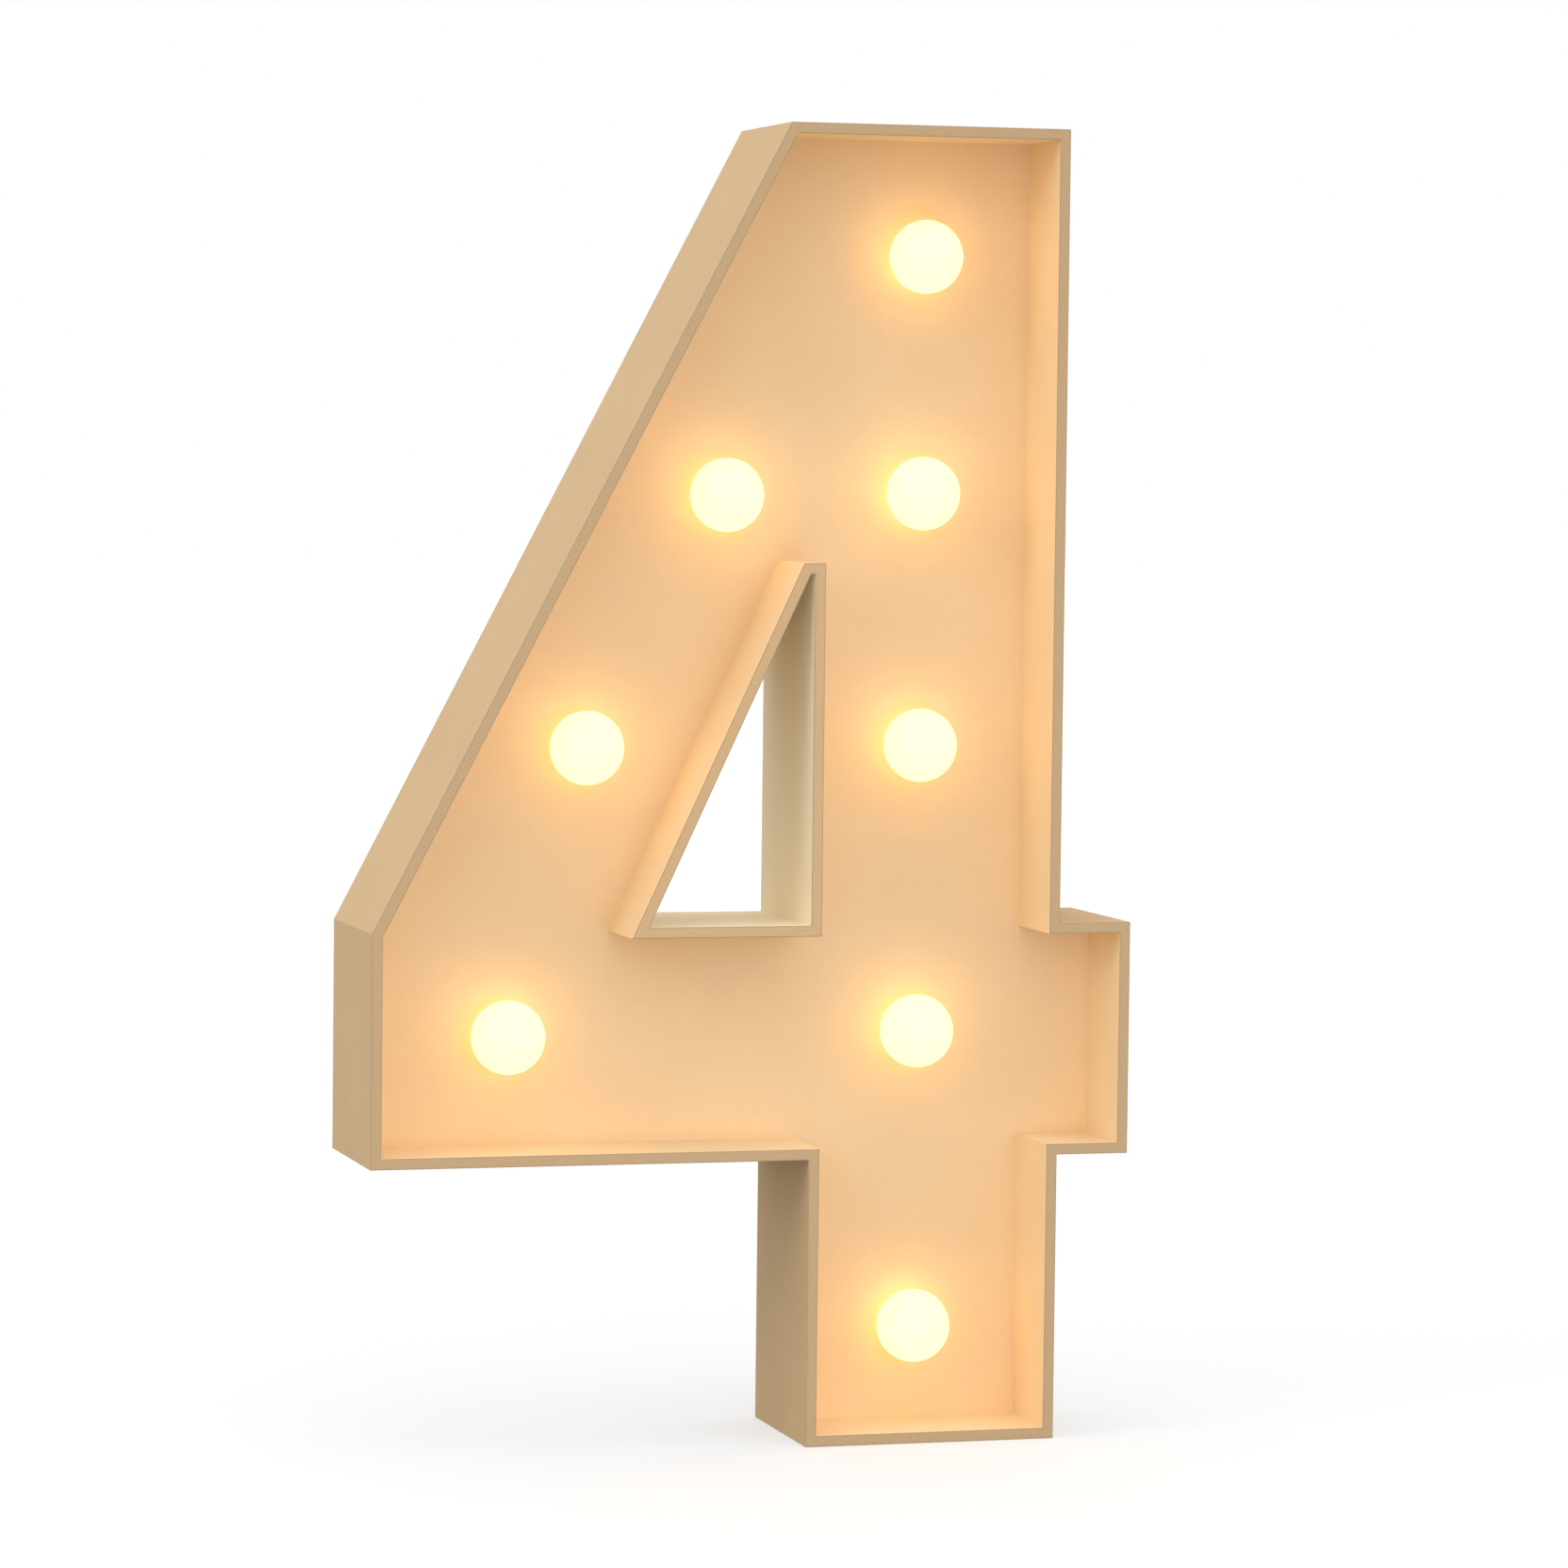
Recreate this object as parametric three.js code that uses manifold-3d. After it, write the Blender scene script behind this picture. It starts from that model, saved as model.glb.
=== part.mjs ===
// A free-standing light-up figure four, about three feet tall.
// Foam board walls stand round a recessed panel. Eight frosted globe bulbs screw on in front of the
// panel, and their holders, the lead and the battery case sit in the open recess behind it.
// Millimetres. X runs to the right, Y to the back and Z up. The origin is on the floor, midway
// across the figure and midway through its depth.
import * as THREE from "three";
import { mergeVertices } from "three/addons/utils/BufferGeometryUtils.js";
import Module from "manifold-3d";

const wasm = await Module();
wasm.setup();

// The figure, seen from the front
const figureHeight = 914;
const stemOffset = 308.8; // left end to the left face of the leg
const stemWidth = 180.7;
const armReach = 52;
const barBottom = 200;
const barHeight = 162.7;
const leftEndHeight = 160.5;
const topWidth = 201;
const counterWidth = 115.3; // the triangular window, along its bottom
const counterHeight = 242.3;
const counterTopWidth = 3;

// The boards
const wallDepth = 130;
const boardThickness = 7.6;
const panelThickness = 7.6;
const panelRecess = 68; // front rim to the panel's face

// Places of the bulbs
const footBulbHeight = 76; // above the floor
const barBulbRise = 84.2; // above the bar's underside
const barEndBulbInset = 105; // from the left end
const topBulbDrop = 88.6; // below the top
const lowerStemBulbShare = 0.3707; // of the way up from the bar's bulb to the top one
const upperStemBulbShare = 0.6957;
const lowerLimbBulbShare = 0.2926; // of the way up the diagonal wall
const upperLimbBulbShare = 0.6137;
const lowerLimbInsetShare = 0.5317; // of the way from the diagonal wall to the window's top
const upperLimbInsetShare = 0.5703;

// Clearances
const seatGap = 0.3; // between pieces that rest on or run in one another
const glueGap = 0.15; // each side of the tape pad
const cutOverrun = 1;

// One bulb globe and its holder
const globeDiameter = 51;
const globeWall = 1.4;
const neckDiameter = 30;
const neckLength = 3.6;
const barrelDiameter = 23.4;
const barrelReach = 8; // in front of the panel
const threadClearance = 0.35;
const panelHoleClearance = 0.5;
const flangeDiameter = 37;
const flangeThickness = 2.4;
const tailDiameter = 26;
const tailLength = 14.5;
const lampPocketDepth = 1.5;
const lampPlateDiameter = 17;
const lampPlateThickness = 1.6;
const lampDomeDiameter = 9;

// The lead
const leadDiameter = 3.6;
const leadSlotDepth = 9.5; // panel's back to the middle of the lead where it crosses a holder
const leadStraight = 30; // on each side of a holder's middle
const leadBow = 7; // how far it strays sideways between two holders
const leadPullShare = 0.2; // of the way between two holders, for the ease of its bends
const leadTurn = 20; // radius of its turns under the foot bulb and over the top one
const quarterTurnShare = 0.5523; // of a turn's radius, for a round quarter

// The battery case, its cells and its cover
const cellDiameter = 14.2;
const cellLength = 49.5;
const cellNubLength = 1;
const cellNubDiameter = 5.5;
const cellRim = 0.6;
const cellSpacing = 0.8; // between two cells
const cellHeadroom = 1.4; // cells to the cover's channel
const contactThickness = 0.5;
const contactWidth = 11;
const springLength = 5; // contact plate to the end of its tip
const springWire = 0.8;
const springBaseDiameter = 9;
const springTipDiameter = 5;
const caseOffsetShare = 0.5438; // of the way from the stem's middle to the leg's inner face
const caseBottom = 132;
const caseWall = 2;
const caseSideWall = 3.6;
const caseFloor = 1.8;
const bayDivider = 2.4;
const cellRibWidth = 1.2;
const cellRibHeight = 3;
const tapeThickness = 1.2;
const tapeMargin = 6;
const coverTongueThickness = 1.5;
const coverTongueReach = 1.6;
const coverLip = 1.2;
const coverLap = 8; // how far the cover lies over the switch bay
const gripWidth = 24;
const gripGroove = 1.2;
const gripDepth = 0.6;
const gripPitch = 2.6;
const gripInset = 5;
const screwHeadDiameter = 6;
const screwHeadHeight = 2;
const screwShankDiameter = 2.8;
const screwLength = 9;
const screwBossDiameter = 7;
const screwSlot = 0.9;
const screwSlotReachShare = 0.33; // of the head's diameter, from its middle
const deckThickness = 2;
const switchOffset = 10; // case's middle to the switch's middle
const switchLength = 12;
const switchWidth = 6;
const switchMargin = 2.3; // above and below it in its bay
const switchHeight = 5.5;
const sliderLength = 3.4;
const sliderWidth = 2.6;
const sliderRise = 2.5; // above the deck
const sliderFootLength = 5;
const sliderFootWidth = 3.6;
const sliderFootHeight = 1.5;
const sliderTravel = 3;
const leadPortOffset = 13; // case's middle to the lead's hole
const leadTail = 7; // length of lead inside the case

// Counts
const globeSides = 24;
const globeArcSteps = 10;
const globeInnerSteps = 6;
const holderSides = 18;
const lampSides = 12;
const lampArcSteps = 3;
const holeSteps = 12;
const leadSides = 8;
const leadSteps = 150;
const cellCount = 3;
const cellSides = 18;
const springTurns = 3;
const springStepsPerTurn = 8;
const springSides = 5;
const screwSides = 14;
const gripCount = 4;

// Places worked out from the sizes above
const figureWidth = stemOffset + stemWidth + armReach;
const left = -figureWidth / 2;
const right = figureWidth / 2;
const stemLeft = left + stemOffset;
const stemRight = stemLeft + stemWidth;
const stemMiddle = stemLeft + stemWidth / 2;
const barTop = barBottom + barHeight;
const leftEndTop = barBottom + leftEndHeight;
const topLeft = stemRight - topWidth;
const counterTop = barTop + counterHeight;
const rimY = -wallDepth / 2;
const backY = wallDepth / 2;
const panelFrontY = rimY + panelRecess;
const panelBackY = panelFrontY + panelThickness;
const leadY = panelBackY + leadSlotDepth;
const leadRestY = panelBackY + leadDiameter / 2 + seatGap;

// Materials
const paint = (color, roughness, metalness = 0) =>
  new THREE.MeshStandardMaterial({ color, roughness, metalness });
const board = () => paint(0xdcbc90, 0.8);
const frosted = () => {
  const glow = paint(0xfff4d8, 0.45);
  glow.emissive = new THREE.Color(0xffe9b0);
  return glow;
};
const holderPlastic = () => paint(0xf0ece2, 0.5);
const lampPhosphor = () => paint(0xf6d96a, 0.4);
const leadPlastic = () => paint(0xe9e4d6, 0.55);
const casePlastic = () => paint(0xeeebe4, 0.5);
const switchPlastic = () => paint(0x26262a, 0.5);
const cellJacket = () => paint(0x5a6066, 0.35, 0.6);
const contactPlate = () => paint(0xc9cbce, 0.3, 0.9);
const screwSteel = () => paint(0xb4b6ba, 0.35, 0.9);
const foamTape = () => paint(0xf5f3ee, 0.9);

const figure = new THREE.Group();

function add(name, geometry, material) {
  const mesh = new THREE.Mesh(geometry, material);
  mesh.name = name;
  figure.add(mesh);
}

// A closed geometry as a solid that can be cut and joined
function solid(geometry) {
  const bare = geometry.index ? geometry.toNonIndexed() : geometry.clone();
  bare.deleteAttribute("normal");
  bare.deleteAttribute("uv");
  const merged = mergeVertices(bare);
  const vertProperties = merged.attributes.position.array;
  const triVerts = new Uint32Array(merged.index.array);
  return new wasm.Manifold(new wasm.Mesh({ numProp: 3, vertProperties, triVerts }));
}

// A cut or joined solid as a geometry again
function geometryOf(made) {
  const mesh = made.getMesh();
  const geometry = new THREE.BufferGeometry();
  geometry.setAttribute("position", new THREE.BufferAttribute(mesh.vertProperties, 3));
  geometry.setIndex(new THREE.BufferAttribute(mesh.triVerts, 1));
  geometry.computeVertexNormals();
  return geometry;
}

// A box between two corners
function block(low, high) {
  const [x0, y0, z0] = low;
  const [x1, y1, z1] = high;
  const geometry = new THREE.BoxGeometry(x1 - x0, y1 - y0, z1 - z0);
  return solid(geometry.translate((x0 + x1) / 2, (y0 + y1) / 2, (z0 + z1) / 2));
}

// A flat outline in X and Z, from one Y to another
function prism(shape, fromY, toY, steps = 1) {
  const depth = toY - fromY;
  const geometry = new THREE.ExtrudeGeometry(shape, {
    depth,
    bevelEnabled: false,
    curveSegments: steps,
  });
  return geometry.rotateX(Math.PI / 2).translate(0, toY, 0);
}

// A round piece about the Y axis, from radii and places along Y, set at x and z
function turned(profile, sides, x, z) {
  const points = profile.map(([radius, y]) => new THREE.Vector2(radius, y));
  return new THREE.LatheGeometry(points, sides).translate(x, 0, z);
}

// Points on a quarter or half circle about the Y axis, between two angles from the axis
function arc(radius, middleY, fromAngle, toAngle, steps) {
  return Array.from({ length: steps + 1 }, (_, i) => {
    const angle = fromAngle + ((toAngle - fromAngle) * i) / steps;
    return [Math.max(0, radius * Math.sin(angle)), middleY - radius * Math.cos(angle)];
  });
}

// An outline moved to its right-hand side, as seen when walking round it
function offset(points, distance) {
  const count = points.length;
  const normals = points.map((point, i) => {
    const along = points[(i + 1) % count].clone().sub(point).normalize();
    return new THREE.Vector2(along.y, -along.x);
  });
  return points.map((point, i) => {
    const before = normals[(i + count - 1) % count];
    const sum = before.clone().add(normals[i]);
    return point.clone().addScaledVector(sum, distance / (1 + before.dot(normals[i])));
  });
}

// The outline of the figure and of its window, both walked clockwise
const outline = [
  new THREE.Vector2(left, barBottom),
  new THREE.Vector2(left, leftEndTop),
  new THREE.Vector2(topLeft, figureHeight),
  new THREE.Vector2(stemRight, figureHeight),
  new THREE.Vector2(stemRight, barTop),
  new THREE.Vector2(right, barTop),
  new THREE.Vector2(right, barBottom),
  new THREE.Vector2(stemRight, barBottom),
  new THREE.Vector2(stemRight, 0),
  new THREE.Vector2(stemLeft, 0),
  new THREE.Vector2(stemLeft, barBottom),
];
const outlineWalls = [
  "left_end_wall",
  "diagonal_wall",
  "top_wall",
  "stem_right_wall",
  "arm_top_wall",
  "arm_end_wall",
  "arm_bottom_wall",
  "leg_right_wall",
  "foot_wall",
  "leg_left_wall",
  "bar_bottom_wall",
];
const counter = [
  new THREE.Vector2(stemLeft - counterWidth, barTop),
  new THREE.Vector2(stemLeft - counterTopWidth, counterTop),
  new THREE.Vector2(stemLeft, counterTop),
  new THREE.Vector2(stemLeft, barTop),
];
const counterWalls = [
  "counter_diagonal_wall",
  "counter_top_wall",
  "counter_right_wall",
  "counter_bottom_wall",
];
const insideOfOutline = offset(outline, boardThickness);
const outsideOfCounter = offset(counter, -boardThickness);

// One board to each side of an outline, mitred at both ends
function addWalls(names, outer, inner) {
  names.forEach((name, i) => {
    const next = (i + 1) % names.length;
    const shape = new THREE.Shape([outer[i], outer[next], inner[next], inner[i]]);
    add(name, prism(shape, rimY, backY), board());
  });
}

// The bulbs in the order in which the lead reaches them, with the way the lead runs at each
const up = new THREE.Vector2(0, 1);
const down = new THREE.Vector2(0, -1);
const sideways = new THREE.Vector2(-1, 0);
const [, leftEndCorner, topLeftCorner] = outline;
const downLimb = leftEndCorner.clone().sub(topLeftCorner).normalize();
const barBulbZ = barBottom + barBulbRise;
const topBulbZ = figureHeight - topBulbDrop;
const onStem = (z) => ({ x: stemMiddle, z, heading: up });
const upStem = (share) => onStem(THREE.MathUtils.lerp(barBulbZ, topBulbZ, share));
const acrossLimb = new THREE.Vector2(-downLimb.y, downLimb.x);
const limbWidth = counter[1].clone().sub(leftEndCorner).dot(acrossLimb);
const onLimb = (share, insetShare) => {
  const place = leftEndCorner.clone().lerp(topLeftCorner, share);
  place.addScaledVector(acrossLimb, limbWidth * insetShare);
  return { x: place.x, z: place.y, heading: downLimb };
};
const bulbs = [
  onStem(footBulbHeight),
  onStem(barBulbZ),
  upStem(lowerStemBulbShare),
  upStem(upperStemBulbShare),
  onStem(topBulbZ),
  onLimb(upperLimbBulbShare, upperLimbInsetShare),
  onLimb(lowerLimbBulbShare, lowerLimbInsetShare),
  { x: left + barEndBulbInset, z: barBulbZ, heading: down },
];

// The panel fills the outline behind the bulbs, with the window and a hole for each holder
function addPanel() {
  const shape = new THREE.Shape([...insideOfOutline].reverse());
  shape.holes.push(new THREE.Path([...outsideOfCounter]));
  for (const { x, z } of bulbs) {
    const hole = new THREE.Path();
    hole.absarc(x, z, barrelDiameter / 2 + panelHoleClearance, 0, 2 * Math.PI, true);
    shape.holes.push(hole);
  }
  add("back_panel", prism(shape, panelFrontY, panelBackY, holeSteps), board());
}

// A frosted shell, open at its neck, which screws over the holder's barrel
function globeProfile() {
  const outer = globeDiameter / 2;
  const inner = outer - globeWall;
  const bore = barrelDiameter / 2 + threadClearance;
  const neck = neckDiameter / 2;
  const endY = panelFrontY - seatGap;
  const middleY = endY - neckLength - Math.sqrt(outer * outer - neck * neck);
  const boreAngle = Math.PI - Math.asin(bore / inner);
  const neckAngle = Math.PI - Math.asin(neck / outer);
  return [
    ...arc(outer, middleY, 0, neckAngle, globeArcSteps),
    [neck, endY],
    [bore, endY],
    ...arc(inner, middleY, boreAngle, 0, globeInnerSteps),
  ];
}

// The holder: a barrel through the panel, a flange behind it, and a tail with a slot for the lead
function holderProfile() {
  const frontY = panelFrontY - barrelReach;
  const flangeY = panelBackY + seatGap;
  const tailY = flangeY + flangeThickness;
  const pocket = lampPlateDiameter / 2 + seatGap;
  return [
    [0, frontY + lampPocketDepth],
    [pocket, frontY + lampPocketDepth],
    [pocket, frontY],
    [barrelDiameter / 2, frontY],
    [barrelDiameter / 2, flangeY],
    [flangeDiameter / 2, flangeY],
    [flangeDiameter / 2, tailY],
    [tailDiameter / 2, tailY],
    [tailDiameter / 2, tailY + tailLength],
    [0, tailY + tailLength],
  ];
}

// The slot crosses the tail along the lead's way and is open to the back
function leadSlot({ x, z, heading }) {
  const half = leadDiameter / 2 + seatGap;
  const reach = tailDiameter / 2 + cutOverrun;
  const endY = panelBackY + flangeThickness + tailLength + seatGap + cutOverrun;
  const geometry = new THREE.BoxGeometry(2 * half, endY - leadY + half, 2 * reach);
  geometry.translate(0, (endY + leadY - half) / 2, 0);
  geometry.rotateY(Math.atan2(heading.x, heading.y));
  return solid(geometry.translate(x, 0, z));
}

// The lamp: a small round circuit plate with a domed diode
function lampProfile() {
  const seatY = panelFrontY - barrelReach + lampPocketDepth - seatGap;
  const faceY = seatY - lampPlateThickness;
  return [
    ...arc(lampDomeDiameter / 2, faceY, 0, Math.PI / 2, lampArcSteps),
    [lampPlateDiameter / 2, faceY],
    [lampPlateDiameter / 2, seatY],
    [0, seatY],
  ];
}

function addBulbs() {
  bulbs.forEach((bulb, i) => {
    const { x, z } = bulb;
    const number = i + 1;
    const holder = solid(turned(holderProfile(), holderSides, x, z)).subtract(leadSlot(bulb));
    add("bulb_globe_" + number, turned(globeProfile(), globeSides, x, z), frosted());
    add("bulb_holder_" + number, geometryOf(holder), holderPlastic());
    add("bulb_lamp_" + number, turned(lampProfile(), lampSides, x, z), lampPhosphor());
  });
}

// The case stands in the leg, its lead and switch at the bottom and its cover facing the back
const caseX = stemMiddle + (stemWidth / 2 - boardThickness) * caseOffsetShare;
const caseFrontY = panelBackY + tapeThickness + 2 * glueGap;
const channelDepth = coverTongueThickness + 2 * seatGap;
const caseDepth = caseFloor + seatGap + cellDiameter + cellHeadroom + channelDepth + coverLip;
const caseBackY = caseFrontY + caseDepth;
const cellPitch = cellDiameter + cellSpacing;
const bayWidth = (cellCount - 1) * cellPitch + cellDiameter + 2 * seatGap;
const caseWidth = bayWidth + 2 * caseSideWall;
const springEnd = seatGap + contactThickness + springLength + seatGap;
const plateEnd = seatGap + contactThickness + seatGap;
const bayLength = springEnd + cellLength + cellNubLength + plateEnd;
const switchBayLength = switchWidth + 2 * switchMargin + caseWall + coverLap;
const bayBottom = caseBottom + caseWall + switchBayLength + bayDivider;
const bayTop = bayBottom + bayLength;
const caseTop = bayTop + caseWall;
const coverBottom = caseBottom + caseWall + switchBayLength - coverLap;
const tongueBackY = caseBackY - coverLip;
const tongueFrontY = tongueBackY - channelDepth;
const tongueHalf = bayWidth / 2 + coverTongueReach;
const screwZ = coverBottom + coverLap / 2;
const deckFrontY = caseBackY - deckThickness;
const switchX = caseX - switchOffset;
const switchZ = (caseBottom + coverBottom) / 2;
const leadPortX = caseX + leadPortOffset;

// A rod along Y between two places
function rodY(diameter, fromY, toY, x, z, sides) {
  const profile = [
    [0, fromY],
    [diameter / 2, fromY],
    [diameter / 2, toY],
    [0, toY],
  ];
  return solid(turned(profile, sides, x, z));
}

function addTapePad() {
  const half = caseWidth / 2 - tapeMargin;
  const fromY = panelBackY + glueGap;
  const pad = block(
    [caseX - half, fromY, bayBottom],
    [caseX + half, fromY + tapeThickness, caseTop - tapeMargin],
  );
  add("case_tape_pad", geometryOf(pad), foamTape());
}

// The switch bay is a hollow open to the panel, with a boss for the screw
function switchBay() {
  const half = bayWidth / 2;
  const hollow = block(
    [caseX - half, caseFrontY - cutOverrun, caseBottom + caseWall],
    [caseX + half, tongueFrontY - deckThickness, bayBottom - bayDivider],
  );
  const underDeck = block(
    [caseX - half, caseFrontY - cutOverrun, caseBottom + caseWall],
    [caseX + half, deckFrontY, coverBottom - caseWall],
  );
  const fromY = caseFrontY - 2 * cutOverrun;
  const boss = rodY(screwBossDiameter, fromY, caseBackY, caseX, screwZ, screwSides);
  return hollow.add(underDeck).subtract(boss);
}

// The cells' bay, with low ribs between the cells
function cellBay() {
  const half = bayWidth / 2;
  const floorY = caseFrontY + caseFloor;
  let bay = block(
    [caseX - half, floorY, bayBottom],
    [caseX + half, caseBackY + cutOverrun, bayTop],
  );
  for (let i = 1; i < cellCount; i++) {
    const x = caseX + (i - cellCount / 2) * cellPitch;
    bay = bay.subtract(
      block(
        [x - cellRibWidth / 2, floorY - cutOverrun, bayBottom + springEnd],
        [x + cellRibWidth / 2, floorY + cellRibHeight, bayTop - springEnd],
      ),
    );
  }
  return bay;
}

// The channel that the cover slides in, open at the top of the case
function coverChannel() {
  const half = bayWidth / 2;
  const groove = block(
    [caseX - tongueHalf, tongueFrontY, coverBottom],
    [caseX + tongueHalf, tongueBackY, caseTop + cutOverrun],
  );
  const mouth = block(
    [caseX - half, tongueFrontY, coverBottom],
    [caseX + half, caseBackY + cutOverrun, caseTop + cutOverrun],
  );
  return groove.add(mouth);
}

function addCase() {
  const shell = block(
    [caseX - caseWidth / 2, caseFrontY, caseBottom],
    [caseX + caseWidth / 2, caseBackY, caseTop],
  );
  const screwHole = rodY(
    screwShankDiameter + 2 * seatGap,
    tongueFrontY + cutOverrun - screwLength,
    tongueFrontY + cutOverrun,
    caseX,
    screwZ,
    screwSides,
  );
  const slotHalf = sliderTravel + sliderLength / 2 + seatGap;
  const slot = block(
    [switchX - slotHalf, deckFrontY - cutOverrun, switchZ - sliderWidth / 2 - seatGap],
    [switchX + sliderLength / 2 + seatGap, caseBackY + cutOverrun, switchZ + sliderWidth / 2 + seatGap],
  );
  const portHalf = leadDiameter / 2 + seatGap;
  const port = block(
    [leadPortX - portHalf, leadY - portHalf, caseBottom - cutOverrun],
    [leadPortX + portHalf, leadY + portHalf, caseBottom + caseWall + cutOverrun],
  );
  const made = [switchBay(), cellBay(), coverChannel(), screwHole, slot, port].reduce(
    (rest, cut) => rest.subtract(cut),
    shell,
  );
  add("battery_case", geometryOf(made), casePlastic());
}

// The cover: a tongued plate with grip grooves, and a notch that lets it slide from under the screw
function addCover() {
  const fromZ = coverBottom + seatGap;
  const tongue = block(
    [caseX - tongueHalf + seatGap, tongueFrontY + seatGap, fromZ],
    [caseX + tongueHalf - seatGap, tongueBackY - seatGap, caseTop],
  );
  const face = block(
    [caseX - bayWidth / 2 + seatGap, tongueFrontY + seatGap, fromZ],
    [caseX + bayWidth / 2 - seatGap, caseBackY, caseTop],
  );
  const notchHalf = screwShankDiameter / 2 + seatGap;
  let cover = tongue.add(face).subtract(
    block(
      [caseX - notchHalf, tongueFrontY - cutOverrun, fromZ - cutOverrun],
      [caseX + notchHalf, caseBackY + cutOverrun, screwZ + notchHalf],
    ),
  );
  for (let i = 0; i < gripCount; i++) {
    const z = caseTop - gripInset - i * gripPitch;
    cover = cover.subtract(
      block(
        [caseX - gripWidth / 2, caseBackY - gripDepth, z - gripGroove / 2],
        [caseX + gripWidth / 2, caseBackY + cutOverrun, z + gripGroove / 2],
      ),
    );
  }
  add("battery_cover", geometryOf(cover), casePlastic());
}

// The cover screw, its head just clear of the cover and cross-slotted
function addScrew() {
  const headY = caseBackY + seatGap;
  const topY = headY + screwHeadHeight;
  const profile = [
    [0, headY - screwLength],
    [screwShankDiameter / 2, headY - screwLength],
    [screwShankDiameter / 2, headY],
    [screwHeadDiameter / 2, headY],
    [screwHeadDiameter / 2, topY],
    [0, topY],
  ];
  const reach = screwHeadDiameter * screwSlotReachShare;
  const bar = (halfX, halfZ) =>
    block(
      [caseX - halfX, topY - screwSlot, screwZ - halfZ],
      [caseX + halfX, topY + cutOverrun, screwZ + halfZ],
    );
  const cross = bar(reach, screwSlot / 2).add(bar(screwSlot / 2, reach));
  const screw = solid(turned(profile, screwSides, caseX, screwZ)).subtract(cross);
  add("cover_screw", geometryOf(screw), screwSteel());
}

// The switch: a body under the deck, and a slider whose knob comes out through the deck's slot
function addSwitch() {
  const backY = deckFrontY - seatGap;
  const bodyX = switchX - sliderTravel / 2;
  const footX = sliderFootLength / 2 + seatGap;
  const footZ = sliderFootWidth / 2 + seatGap;
  const body = block(
    [bodyX - switchLength / 2, backY - switchHeight, switchZ - switchWidth / 2],
    [bodyX + switchLength / 2, backY, switchZ + switchWidth / 2],
  ).subtract(
    block(
      [switchX - sliderTravel - footX, backY - sliderFootHeight - 2 * seatGap, switchZ - footZ],
      [switchX + footX, backY + cutOverrun, switchZ + footZ],
    ),
  );
  const foot = block(
    [switchX - sliderFootLength / 2, backY - sliderFootHeight - seatGap, switchZ - sliderFootWidth / 2],
    [switchX + sliderFootLength / 2, backY - seatGap, switchZ + sliderFootWidth / 2],
  );
  const knob = block(
    [switchX - sliderLength / 2, backY - sliderFootHeight, switchZ - sliderWidth / 2],
    [switchX + sliderLength / 2, caseBackY + sliderRise, switchZ + sliderWidth / 2],
  );
  add("switch_body", geometryOf(body), switchPlastic());
  add("switch_slider", geometryOf(foot.add(knob)), switchPlastic());
}

// Three cells side by side, every other one turned end for end
const cellY = caseFrontY + caseFloor + seatGap + cellDiameter / 2;
const cellX = (i) => caseX + (i - (cellCount - 1) / 2) * cellPitch;
const nubUp = (i) => i % 2 === 0;

function addCells() {
  const radius = cellDiameter / 2;
  const nub = cellNubDiameter / 2;
  const profile = [
    [0, 0],
    [radius - cellRim, 0],
    [radius, cellRim],
    [radius, cellLength - cellRim],
    [radius - cellRim, cellLength],
    [nub, cellLength],
    [nub, cellLength + cellNubLength],
    [0, cellLength + cellNubLength],
  ];
  for (let i = 0; i < cellCount; i++) {
    const cell = turned(profile, cellSides, 0, 0).rotateX(Math.PI / 2);
    if (!nubUp(i)) cell.rotateX(Math.PI);
    const z = nubUp(i) ? bayBottom + springEnd : bayTop - springEnd;
    add("battery_cell_" + (i + 1), cell.translate(cellX(i), cellY, z), cellJacket());
  }
}

// A tapered coil that stands on a contact plate
class Coil extends THREE.Curve {
  getPoint(t, target = new THREE.Vector3()) {
    const angle = 2 * Math.PI * springTurns * t;
    const radius = THREE.MathUtils.lerp(springBaseDiameter, springTipDiameter, t) / 2;
    const rise = (springLength - springWire / 2) * t;
    return target.set(radius * Math.cos(angle), radius * Math.sin(angle), rise);
  }
}

// A round section of a tube
function ring(diameter, sides) {
  return new THREE.Shape(
    Array.from({ length: sides }, (_, i) => {
      const angle = (2 * Math.PI * i) / sides;
      return new THREE.Vector2(Math.cos(angle), Math.sin(angle)).multiplyScalar(diameter / 2);
    }),
  );
}

function spring(i) {
  const steps = springTurns * springStepsPerTurn;
  const section = ring(springWire, springSides);
  const extrudePath = new Coil();
  const coil = new THREE.ExtrudeGeometry(section, { steps, extrudePath, bevelEnabled: false });
  if (!nubUp(i)) coil.rotateX(Math.PI);
  const seat = seatGap + contactThickness;
  const z = nubUp(i) ? bayBottom + seat : bayTop - seat;
  return solid(coil.translate(cellX(i), cellY, z));
}

// A contact plate across the cells from one to another, at the bottom or the top of the bay
function plate(first, last, atBottom) {
  const z = atBottom ? bayBottom + seatGap : bayTop - seatGap - contactThickness;
  const half = contactWidth / 2;
  return block(
    [cellX(first) - half, cellY - half, z],
    [cellX(last) + half, cellY + half, z + contactThickness],
  );
}

// The cells are in series: two links, and a contact at each end of the row
function addContacts() {
  const [first, second, third] = [0, 1, 2];
  const contacts = {
    link_lower: plate(first, second, true).add(spring(first)),
    link_upper: plate(second, third, false).add(spring(second)),
    contact_minus: plate(third, third, true).add(spring(third)),
    contact_plus: plate(first, first, false),
  };
  for (const [name, made] of Object.entries(contacts)) {
    add(name, geometryOf(made), contactPlate());
  }
}

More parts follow.
